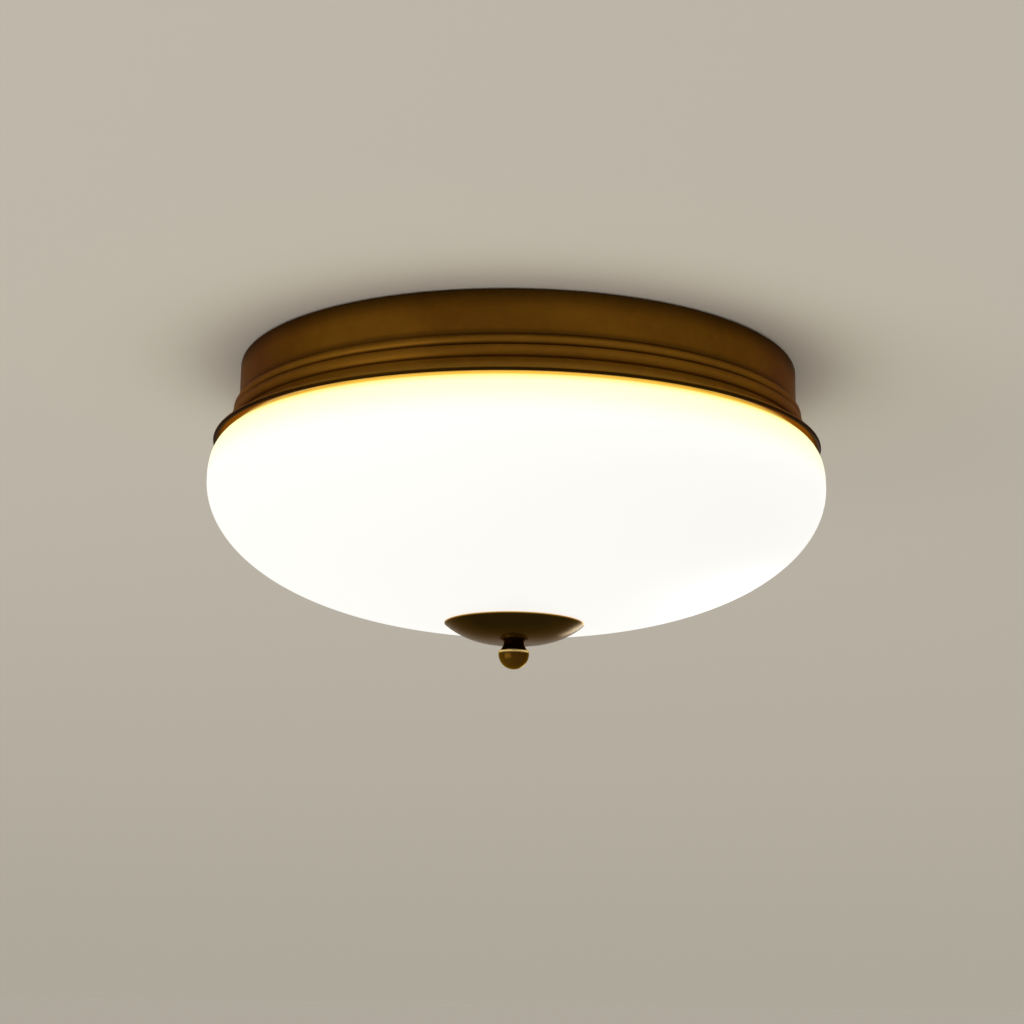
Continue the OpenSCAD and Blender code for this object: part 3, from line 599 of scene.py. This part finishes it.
bowlLow, bowlHigh = span("glass_bowl")
bowl = {
    "thickness": 3.5, "mouthIn": 19.0, "lipIn": 1.6, "shoulder": 24.7, "shoulderBow": 2.5, "bow": 2.35,
    "holeRadius": 6.5, "holeEase": 0.4, "holeReach": 1.5, "sweep": 87.0, "around": 256,
}
bowlRadius = bowlHigh.x
bowlMid = bowlHigh.z - bowl["shoulder"]
bowlDepth = bowlMid - bowlLow.z


def bowlFace(radius):  # level of the outer face below the widest level
    return bowlMid - bowlDepth * math.sqrt(1 - (radius / bowlRadius) ** bowl["bow"])


def bowlOutline():
    mouth = bowlRadius - bowl["mouthIn"]
    run = bowlRadius - mouth
    bend = 2 / bowl["shoulderBow"]
    top = math.acos((bowl["lipIn"] / run) ** (1 / bend))
    ease = bowl["holeEase"]
    outer = []
    for k in range(40):
        a = top * (1 - k / 40)
        outer.append((mouth + run * math.cos(a) ** bend, bowlMid + bowl["shoulder"] * math.sin(a) ** bend))
    for k in range(90):
        radius = bowlRadius * math.cos(math.radians(bowl["sweep"] * k / 89)) ** (2 / bowl["bow"])
        outer.append((radius, bowlFace(radius)))
    outer = [p for p in outer if p[0] > bowl["holeRadius"] + bowl["holeReach"]]
    outer.append((bowl["holeRadius"] + ease, bowlFace(bowl["holeRadius"] + ease)))
    inner = beside(outer, -bowl["thickness"])
    lip = ((outer[0][0] + inner[0][0]) / 2, (outer[0][1] + inner[0][1]) / 2)
    tilt = math.degrees(math.atan2(inner[0][1] - outer[0][1], inner[0][0] - outer[0][0]))
    hole = [(bowl["holeRadius"], outer[-1][1] + ease), (bowl["holeRadius"], inner[-1][1] - ease)]
    rim = arc(lip, bowl["thickness"] / 2, tilt, tilt - 180, 14)[1:-1]
    return outer + hole + inner[::-1] + rim


opalLook = {
    "top": panLow.z, "white": (0.680, 0.680, 0.670), "milk": (0.680, 0.675, 0.655),
    # these tones and the ramps paint the glow yellower and then honey-coloured towards the rim; inside is a
    # dimmer painted glow for the inner face
    "ivory": (0.780, 0.780, 0.370), "lemon": (0.950, 0.880, 0.260), "honey": (0.900, 0.520, 0.050),
    "inside": (0.360, 0.340, 0.280), "insideShare": 0.5,
    "ramps": [(24.0, 5.0, "ivory"), (6.2, 1.4, "lemon"), (1.3, 0.1, "honey")],
    # the body tint under the rim is painted darker and yellower with the glow
    "body": (0.44, 0.43, 0.40), "bodyEdge": (0.42, 0.34, 0.12), "edgeReach": 3.0, "gloss": 0.3,
}
opal = opalGlass("lit opal glass", opalLook)
bowlMesh = lathe("opal_bowl", bowlOutline(), bowl["around"])
newPiece("opal_bowl", bowlMesh, "bowl", "opal_glass", opal, "glass_bowl")
print("bowl blown")


# Cap and finial

dishLow, dishHigh = span("cap_dish")
finialHigh = span("finial")[1]
cap = {
    "sheet": 1.0, "flatRadius": 9.0, "flatEase": 0.5, "holeRadius": 3.3, "bow": 2.9, "edge": 0.25,
    "lipWidth": 1.5, "around": 192,
    "lip": ((0.06, 0.6), (0.3, 1), (1.2, 1)),  # how far in from the edge, and the share of the edge's height
}
capRadius = dishHigh.x
capRim = dishHigh.z - cap["edge"]
capDepth = (capRim - dishLow.z) / (1 - (cap["flatRadius"] / capRadius) ** cap["bow"])


def capFace(radius):  # level of the dish's outer face
    return capRim - capDepth * (1 - (radius / capRadius) ** cap["bow"])


def capInside(radius):
    slope = capDepth * cap["bow"] / capRadius * (radius / capRadius) ** (cap["bow"] - 1)
    return capFace(radius) + cap["sheet"] * math.hypot(1, slope)


def capOutline():
    flat, edge = cap["flatRadius"], cap["edge"]
    outline = [(cap["holeRadius"], dishLow.z), (flat - cap["flatEase"], dishLow.z)]
    for k in range(1, 49):
        radius = flat + (capRadius - flat) * (k / 48) ** 0.8
        outline.append((radius, capFace(radius)))
    outline += [(capRadius - inward, capRim + edge * share) for inward, share in cap["lip"]]
    insideEdge = capRadius - cap["lipWidth"]
    for k in range(33):
        radius = insideEdge + (flat - insideEdge) * k / 32
        outline.append((radius, capInside(radius)))
    outline += [(cap["holeRadius"], dishLow.z + cap["sheet"])]
    return outline


capLook = dict(
    bronzeLook, dark=(0.022, 0.012, 0.002), light=(0.030, 0.017, 0.003), warm=(0.040, 0.020, 0.003),
    rubbedAndHighlight=(0.80, 0.42, 0.06), glance=(0.80, 0.64, 0.50), metal=0.9, roughness=0.22, cloudScale=30.0,
    # a painted highlight along the dish's top edge, in the light tone of the line above
    bands=[(dishHigh.z, 0.9, 1.0, "rubbedAndHighlight")], ramps=[])
newPiece("cap_spinning", lathe("cap_spinning", capOutline(), cap["around"]), "cap", "aged_bronze",
         agedBronze("spun cap bronze", capLook), "cap_dish")

knob = {
    "neck": 4.2, "neckShare": 0.67, "flareShare": 0.9, "shoulderShare": 0.985, "shoulderUp": 0.22,
    "topEase": 0.2, "ballSweep": (2, -85), "boreRadius": 3.05, "boreEnd": 11.1, "boreEase": 0.4,
    "around": 128,
}
ballRadius = finialHigh.x / math.cos(math.radians(knob["ballSweep"][0]))
finialTop = finialHigh.z
shoulderLevel = finialTop - knob["neck"]
ballLevel = shoulderLevel - ballRadius * knob["shoulderUp"]


def finialOutline():
    neck, flare, shoulder = (
        ballRadius * knob[share] for share in ("neckShare", "flareShare", "shoulderShare"))
    ease, bore, boreEase = knob["topEase"], knob["boreRadius"], knob["boreEase"]
    outline = [(bore + boreEase, finialTop), (neck - ease, finialTop)]
    for k in range(25):
        t = k / 24
        outline.append((neck + (flare - neck) * t ** 1.4, finialTop - ease - (knob["neck"] - ease) * t))
    outline += [(shoulder - 0.15, shoulderLevel), (shoulder - 0.04, shoulderLevel - 0.05),
                (shoulder, shoulderLevel - 0.15)]
    outline += arc((0, ballLevel), ballRadius, *knob["ballSweep"], 44)
    outline += [(0, ballLevel + ballRadius * math.sin(math.radians(knob["ballSweep"][1])))]
    outline += [(0, finialTop - knob["boreEnd"]), (bore, finialTop - knob["boreEnd"])]
    outline += [(bore, finialTop - boreEase)]
    return outline


finialLook = dict(
    bronzeLook, dark=(0.075, 0.034, 0.004), light=(0.125, 0.060, 0.007), warm=(0.14, 0.062, 0.007),
    rubbedAndHighlight=(0.98, 0.74, 0.30), glance=(1.0, 0.75, 0.4), metal=1.0, roughness=0.24, cloudScale=60.0,
    # a painted reflection of the lit glass as a bright belt under the shoulder, in the light tone of the line
    # above
    markSpacing=0.0004, bands=[(shoulderLevel - 0.8, 1.2, 1.0, "rubbedAndHighlight")], ramps=[])
newPiece("finial_turning", lathe("finial_turning", finialOutline(), knob["around"]), "finial", "aged_brass",
         agedBronze("turned finial brass", finialLook), "finial")
print("cap and finial turned")


# The threaded stem

stemLow, stemHigh = span("stem")
stem = {
    "pitch": 1.0, "depth": 0.5, "crestBow": 0.8, "lead": 0.7, "leadDepth": 0.6, "around": 28, "perTurn": 7,
    "sharpAngle": 60,
}
stemRadius = stemHigh.x


def stemRadiusAt(height, phase):
    tooth = abs(2 * phase - 1) ** stem["crestBow"]
    ends = min(height - stemLow.z, stemHigh.z - height)
    trim = max(0.0, 1 - ends / stem["lead"]) * stem["leadDepth"]
    return stemRadius - stem["depth"] * (1 - tooth) - trim


brass = machinedBrass("machined brass", (0.62, 0.43, 0.17), 0.24)
stemRings = threadSkin(stemRadiusAt, stemLow.z, stemHigh.z, stem["pitch"], stem["around"], stem["perTurn"])
stemMesh = skinMesh("stem_thread", stemRings, sharpAngle=stem["sharpAngle"])
newPiece("stem_thread", stemMesh, "fitting", "stem_brass", brass, "stem")
print("stem threaded")


# Lampholders and bulbs; a lamp's own axis is the z of its outlines

holderLow, holderHigh = span("lampholder_body_1")
lampLevel = (holderLow.z + holderHigh.z) / 2
holderBack = holderLow.x


def lampPlace(number):
    side = Matrix.Rotation(0 if number == 1 else math.pi, 4, "Z")
    move = Matrix.Translation((holderBack * mm, 0, lampLevel * mm))
    return side @ move @ Matrix.Rotation(math.pi / 2, 4, "Y")


screwThread = {"pitch": 3.63, "fade": 1.5, "around": 64, "perTurn": 14, "sharpAngle": 50}


def lampThread(radiusAt, low, high):
    t = screwThread
    return threadSkin(radiusAt, low, high, t["pitch"], t["around"], t["perTurn"])


def lampSkin(name, rings, place):
    return skinMesh(name, rings, place, True, screwThread["sharpAngle"])


def plainRing(radius, height):
    around = screwThread["around"]
    return [(radius, 2 * math.pi * k / around, height) for k in range(around)]


def hollowShare(phase):  # 0 on the thread's crest, 1 in its hollow
    return 0.5 + 0.5 * math.cos(2 * math.pi * phase)


def threadFade(height, low, high):  # share of the thread's depth: none at low and high, all between
    return max(0.0, min(1.0, (height - low) / screwThread["fade"], (high - height) / screwThread["fade"]))


screwCapLow, screwCapHigh = (corner.x - holderBack for corner in span("bulb_screw_cap_1"))
screwCap = {
    "crest": 13.1, "depth": 1.0, "endSink": 0.35, "threadStart": 2.6, "threadStop": 3.2,
    "foot": ((-2.4, 0), (-1.6, 0.25), (-0.9, 0.9)),  # out from the crest, and up from the low end
    "lip": ((-0.1, 2.6), (0.8, 2.1), (1.08, 1.7), (1.08, 0), (0.78, 0), (0.75, 1.1), (-1.5, 3.4)),
    "inside": ((-1.5, 3), (-2.4, 0.8)),
}


def screwCapRings(low, high):
    # Outside with its rolled thread, then back inside, as one closed loop of rings
    c = screwCap
    threadLow, threadHigh = low + c["threadStart"], high - c["threadStop"]

    def outside(height, phase):
        fade = threadFade(height, threadLow, threadHigh)
        return c["crest"] - c["depth"] * hollowShare(phase) * fade - c["endSink"] * (1 - fade)

    rings = [plainRing(c["crest"] + out, low + up) for out, up in c["foot"]]
    rings += lampThread(outside, threadLow, threadHigh)
    rings += [plainRing(c["crest"] + out, high - down) for out, down in c["lip"]]
    rings += [plainRing(c["crest"] + out, low + up) for out, up in c["inside"]]
    return rings


bulbLow, bulbHigh = span("bulb_glass_1")
bulbEnd = bulbHigh.x - holderBack
bulbRadius = (bulbHigh.y - bulbLow.y) / 2
bulb = {"wall": 0.8, "neckOut": 0.7, "overlap": 1, "neckBow": 1.1, "ballSweep": (-42, 87), "around": 128}


def bulbOutline():
    start, end = bulb["ballSweep"]
    neckStart = screwCapHigh
    centre = bulbEnd - bulbRadius * math.sin(math.radians(end))
    join = (bulbRadius * math.cos(math.radians(start)), centre + bulbRadius * math.sin(math.radians(start)))
    neck = screwCap["crest"] + bulb["neckOut"]
    outer = [(neck, neckStart - bulb["overlap"])]
    for k in range(36):
        t = k / 36
        ease = t * t * (3 - 2 * t)
        radius = neck + (join[0] - neck) * ease ** bulb["neckBow"]
        outer.append((radius, neckStart + (join[1] - neckStart) * t))
    outer += arc((0, centre), bulbRadius, start, end, 64)
    inner = beside(outer, bulb["wall"])
    mouth = (inner[1][0], neckStart - bulb["overlap"])
    return outer + [(0, outer[-1][1]), (0, inner[-1][1])] + inner[1:][::-1] + [mouth]


linerLow, linerHigh = (corner.x - holderBack for corner in span("lampholder_shell_1"))
liner = {
    "radius": 14.35, "wall": 0.4, "depth": 0.65, "lowPlain": 1, "highPlain": 0.8, "floor": 0.6,
    "floorHole": 8.0,
}


def linerRings():
    def toothed(offset):
        def radiusAt(height, phase):
            fade = threadFade(height, linerLow + liner["lowPlain"], linerHigh - liner["highPlain"])
            return liner["radius"] - offset - liner["depth"] * hollowShare(phase) * fade
        return radiusAt

    floorTop = linerLow + liner["floor"]
    outside = lampThread(toothed(0), linerLow, linerHigh)
    inside = lampThread(toothed(liner["wall"]), floorTop, linerHigh)
    floor = [plainRing(liner["floorHole"], level) for level in (floorTop, linerLow)]
    return outside + inside[::-1] + floor


bulbLook = {
    "neck": holderBack + screwCapHigh, "crown": holderBack + bulbEnd - 25, "glass": (0.54, 0.52, 0.47),
    "neckGlow": (1.0, 0.72, 0.38), "crownGlow": (1.0, 0.93, 0.76), "strength": 0.55,
}
bulbFrost = frostedBulb("frosted bulb", bulbLook)
drawnAluminium = machinedBrass("drawn screw shell", (0.72, 0.71, 0.68), 0.22)
for number in (1, 2):
    place, body = lampPlace(number), f"bulb_{number}"
    envelope = lathe("envelope", bulbOutline(), bulb["around"], place)
    newPiece(f"bulb_{number}_envelope", envelope, body, "frosted_bulb", bulbFrost, f"bulb_glass_{number}")
    thread = lampSkin("thread", screwCapRings(screwCapLow, screwCapHigh), place)
    newPiece(f"bulb_{number}_thread", thread, body, "bulb_cap", drawnAluminium, f"bulb_screw_cap_{number}")
    newPiece(f"holder_{number}_liner", lampSkin("liner", linerRings(), place), "fitting", "stem_brass", brass,
             f"lampholder_shell_{number}")
print("lamps fitted")


# Leads: the frame's own meshes, joined up and shaded round

leads = {
    "merge": 2e-6, "flatAngle": 0.5, "sharpAngle": 70, "roughness": 0.35, "texture": 500.0, "lacquer": 0.15,
}


def rounded(name, node, slot, material):
    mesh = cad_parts[node].data.copy()
    form = bmesh.new()
    form.from_mesh(mesh)
    bmesh.ops.remove_doubles(form, verts=form.verts, dist=leads["merge"])
    bmesh.ops.dissolve_limit(form, angle_limit=math.radians(leads["flatAngle"]), verts=form.verts,
                             edges=form.edges)
    form.to_mesh(mesh)
    form.free()
    newPiece(name, mesh, "fitting", slot, material, node)
    mesh.shade_smooth()
    mesh.set_sharp_from_angle(angle=math.radians(leads["sharpAngle"]))


def leadCover(name, colour):
    return moulded(name, colour, leads["roughness"], leads["texture"], leads["lacquer"])


rounded("live_lead_covers", "live_wires", "brown_lead", leadCover("brown lead cover", (0.16, 0.065, 0.025)))
rounded("neutral_lead_covers", "neutral_wires", "blue_lead",
        leadCover("blue lead cover", (0.02, 0.075, 0.30)))
rounded("earth_lead_cover", "earth_wire", "green_lead",
        stripedLead("earth lead cover", (0.03, 0.22, 0.04), (0.62, 0.55, 0.04)))
print("leads covered")


# The heat pad over the base

padLow, padHigh = span("insulation_pad")
pad = {
    "innerRadius": 76.0, "around": 300, "relief": 0.9, "sideRelief": 0.6, "halfway": 100, "holeRadius": 12.0,
    "corner": 1.8, "foot": 1.5, "steps": 26, "sharpAngle": 60,
    "lumps": ((0.11, 0.5, 0.3), (0.27, 0.3, 1.9), (0.61, 0.2, 4.1)),  # waves per millimetre, share, shift
}


def lumpy(x, y, z):  # smooth repeatable unevenness, from -1 to 1
    total = 0.0
    for scale, share, shift in pad["lumps"]:
        total += share * math.sin(x * scale + shift + 1.7 * math.sin(y * scale * 0.8 + shift)) \
            * math.cos(y * scale * 1.1 - shift + 1.3 * math.sin(x * scale * 0.7) + z * 0.4)
    return total


def padMesh():
    inside, outside = pad["innerRadius"], padHigh.x
    low, high = padLow.z, padHigh.z
    steps, corner = pad["steps"], pad["corner"]
    section = [(inside + (outside - inside) * k / steps, low) for k in range(steps + 1)]
    section += [(outside, low + pad["foot"]), (outside, high - corner)]
    section += arc((outside - corner, high - corner), corner, 20, 90, 5)
    topWidth = outside - inside - 2 * corner
    section += [(outside - corner - topWidth * k / steps, high) for k in range(1, steps)]
    section += arc((inside + corner, high - corner), corner, 90, 180, 6)
    section += [(inside, low + pad["foot"])]
    rings = []
    for radius, height in section:
        ring = []
        lift = (height - low) / (high - low)
        side = 1 if radius > pad["halfway"] else -1
        for k in range(pad["around"]):
            turn = 2 * math.pi * k / pad["around"]
            x, y = radius * math.cos(turn), radius * math.sin(turn)
            sink = pad["relief"] * (0.5 + 0.5 * lumpy(x, y, height)) * lift
            inward = pad["sideRelief"] * (0.5 + 0.5 * lumpy(y, x, height * 3)) * side
            ring.append((radius - inward, turn, height - sink))
        rings.append(ring)
    return skinMesh("heat_pad", rings, None, True, pad["sharpAngle"])


padLook = {
    "colour": (0.80, 0.68, 0.36), "shade": (0.66, 0.52, 0.24), "strand": (0.92, 0.86, 0.62),
    "fibreScale": 700.0, "lumpScale": 60.0, "curl": 0.05, "relief": 0.7,
}
padPiece = newPiece("heat_pad", padMesh(), "fitting", "glass_wool", fibrous("glass wool", padLook),
                    "insulation_pad")
cutAway(padPiece, [post("padHole", pad["holeRadius"], grommetCentre.x, grommetCentre.y, padHigh.z)])
print("heat pad laid")


# Finishes of the nodes that keep their own shape

evenGrain = (500.0, 500.0, 500.0)
refinish(zincSheet("zinc-plated strip", (0.56, 0.57, 0.56), (900.0, 40.0, 900.0)), "mounting_strap")
refinish(zincSheet("zinc-plated bridge", (0.58, 0.59, 0.57), (900.0, 900.0, 60.0)), "lampholder_bridge")
refinish(zincSheet("bright screws", (0.62, 0.62, 0.60), evenGrain), "pan_screws", "stem_nuts",
         "stem_lock_washer", "lampholder_screws", "terminal_screws", "terminal_block_screw")
refinish(zincSheet("green screw", (0.05, 0.26, 0.09), evenGrain), "earth_screw")
refinish(machinedBrass("tinned copper", (0.66, 0.60, 0.52), 0.3), "earth_eyelet")
refinish(machinedBrass("spring bronze", (0.60, 0.36, 0.16), 0.28),
         "lampholder_contact_1", "lampholder_contact_2")
refinish(brass, "terminal_sleeves")
refinish(glazedPorcelain("glazed porcelain", (0.80, 0.78, 0.71)), "lampholder_body_1", "lampholder_body_2")
refinish(moulded("white terminal plastic", (0.74, 0.74, 0.70), 0.35, 600.0, 0.1), "terminal_block")
refinish(moulded("black rubber", (0.025, 0.025, 0.025), 0.6, 900.0), "cable_grommet")
refinish(moulded("natural nylon", (0.66, 0.64, 0.57), 0.38, 500.0, 0.1), "bowl_bushing")
refinish(darkVitreous("black insulating glass"), "bulb_insulator_1", "bulb_insulator_2")
refinish(machinedBrass("solder", (0.55, 0.54, 0.52), 0.38), "bulb_contact_1", "bulb_contact_2")
felt = {"fibreScale": 1500.0, "lumpScale": 120.0, "curl": 0.02, "relief": 0.35}
paleFelt = dict(felt, colour=(0.72, 0.69, 0.60), shade=(0.60, 0.56, 0.47), strand=(0.80, 0.78, 0.70))
darkFelt = dict(felt, colour=(0.035, 0.032, 0.03), shade=(0.02, 0.018, 0.017), strand=(0.07, 0.065, 0.06))
refinish(fibrous("pale felt", paleFelt), "rim_gasket")
refinish(fibrous("dark felt", darkFelt), "cap_seal_ring")
print("finishes set")


# Ceiling, floor and room light

room = {
    "ceilingLevel": 0.0004, "ceilingRadius": 150.0, "ceilingColour": (0.80, 0.76, 0.69), "floorLevel": -2.3,
    "floorRadius": 150.0, "floorColour": (0.74, 0.72, 0.68), "above": (0.92, 0.90, 0.86),
    "level": (0.82, 0.80, 0.76), "below": (0.50, 0.48, 0.45), "horizon": (0.43, 0.39, 0.33),
    "horizonReach": (0.03, 0.015), "softLight": 0.72, "softColour": (1.0, 0.99, 0.97),
}


def oneSided(name, colour):  # plain paint seen from its front only, so that a view from behind looks through
    finish = Finish(name)
    paint = finish.node("ShaderNodeBsdfDiffuse", None, {"Color": colour})
    clear = finish.node("ShaderNodeBsdfTransparent")
    side = finish.node("ShaderNodeNewGeometry", output="Backfacing")
    mixed = finish.node("ShaderNodeMixShader", None, [side, paint, clear])
    finish.node("ShaderNodeOutputMaterial", None, {"Surface": mixed})
    return finish.material


def disc(name, radius, level, upward, material):
    form = bmesh.new()
    bmesh.ops.create_circle(form, cap_ends=True, segments=96, radius=radius)
    if not upward:
        bmesh.ops.reverse_faces(form, faces=form.faces)
    mesh = bpy.data.meshes.new(name)
    form.to_mesh(mesh)
    form.free()
    mesh.materials.append(material)
    made = bpy.data.objects.new(name, mesh)
    made.location.z = level
    bpy.context.scene.collection.objects.link(made)
    return made


ceiling = disc("ceiling", room["ceilingRadius"], room["ceilingLevel"], False,
               oneSided("ceiling paint", room["ceilingColour"]))
ceiling.visible_diffuse = False
ceiling.visible_shadow = False
disc("floor", room["floorRadius"], room["floorLevel"], True, oneSided("floor paint", room["floorColour"]))

world = bpy.data.worlds.new("room")
bpy.context.scene.world = world
world.use_nodes = True
air = Finish("room", world.node_tree)
upward = air.split(air.node("ShaderNodeTexCoord", output="Generated"))[2]
sky = air.blend(upward.within(0.0, 0.7), room["level"], room["above"])
sky = air.blend((0 - upward).within(0.0, 0.8), sky, room["below"])
flat = upward.math("ABSOLUTE").within(*room["horizonReach"])
sky = air.blend(flat, sky, room["horizon"])  # the ceiling's far tone
seen = air.node("ShaderNodeLightPath", output="Is Camera Ray")
for ray in ("Is Glossy Ray", "Is Transmission Ray"):
    seen = seen.math("MAXIMUM", air.node("ShaderNodeLightPath", output=ray))
shown = air.node("ShaderNodeBackground", None, {"Color": sky, "Strength": 1.0})
lit = air.node("ShaderNodeBackground", None, {"Color": room["softColour"], "Strength": room["softLight"]})
either = air.node("ShaderNodeMixShader", None, [seen, lit, shown])
air.node("ShaderNodeOutputWorld", None, {"Surface": either})


def softLamp(name, look):
    data = bpy.data.lights.new(name, "AREA")
    data.shape = "RECTANGLE"
    data.size, data.size_y = look["size"]
    data.energy = look["power"]
    data.color = look["colour"]
    made = bpy.data.objects.new(name, data)
    made.location = look["place"]
    made.rotation_mode = "QUATERNION"
    made.rotation_quaternion = (Vector(look["aim"]) - Vector(look["place"])).to_track_quat("-Z", "Y")
    made.visible_diffuse = look["paints"]
    bpy.context.scene.collection.objects.link(made)


warmLamp = {"aim": (cadLow + cadHigh) / 2, "colour": (1.0, 0.98, 0.95), "paints": True}
lamps = {
    "front lamp": dict(warmLamp, place=(-1.7, -1.4, -0.7), size=(2.0, 1.6), power=11),
    "far window": {  # it only puts a glint on the cap
        "place": (0.85, 2.83, -0.72), "aim": (0.03, 0, -0.15), "size": (0.45, 0.8), "power": 5.0,
        "colour": (0.80, 0.92, 1.0), "paints": False},
    "top lamp": dict(warmLamp, place=(0.6, -0.9, 1.4), size=(1.4, 1.4), power=8),
}
for lamp, look in lamps.items():
    softLamp(lamp, look)
print("room set")


# Camera, fitted to the photograph's rings and outline

view = {
    "place": (0.0, -1.1925, -0.3568), "pitch": 13.08, "roll": 0.9, "lens": 75.5, "sensor": 36.0,
    "shift": -0.0039, "near": 0.02, "far": 400,
}
cameraData = bpy.data.cameras.new("camera")
cameraData.lens = view["lens"]
cameraData.sensor_width = view["sensor"]
cameraData.shift_x = view["shift"]
cameraData.clip_start = view["near"]
cameraData.clip_end = view["far"]
camera = bpy.data.objects.new("camera", cameraData)
bpy.context.scene.collection.objects.link(camera)
lookUp = Matrix.Rotation(math.radians(90 + view["pitch"]), 4, "X")
tilt = Matrix.Rotation(math.radians(view["roll"]), 4, "Z")
camera.matrix_world = Matrix.Translation(view["place"]) @ lookUp @ tilt
bpy.context.scene.camera = camera
bpy.context.scene.view_settings.view_transform = "Standard"
print("camera set")
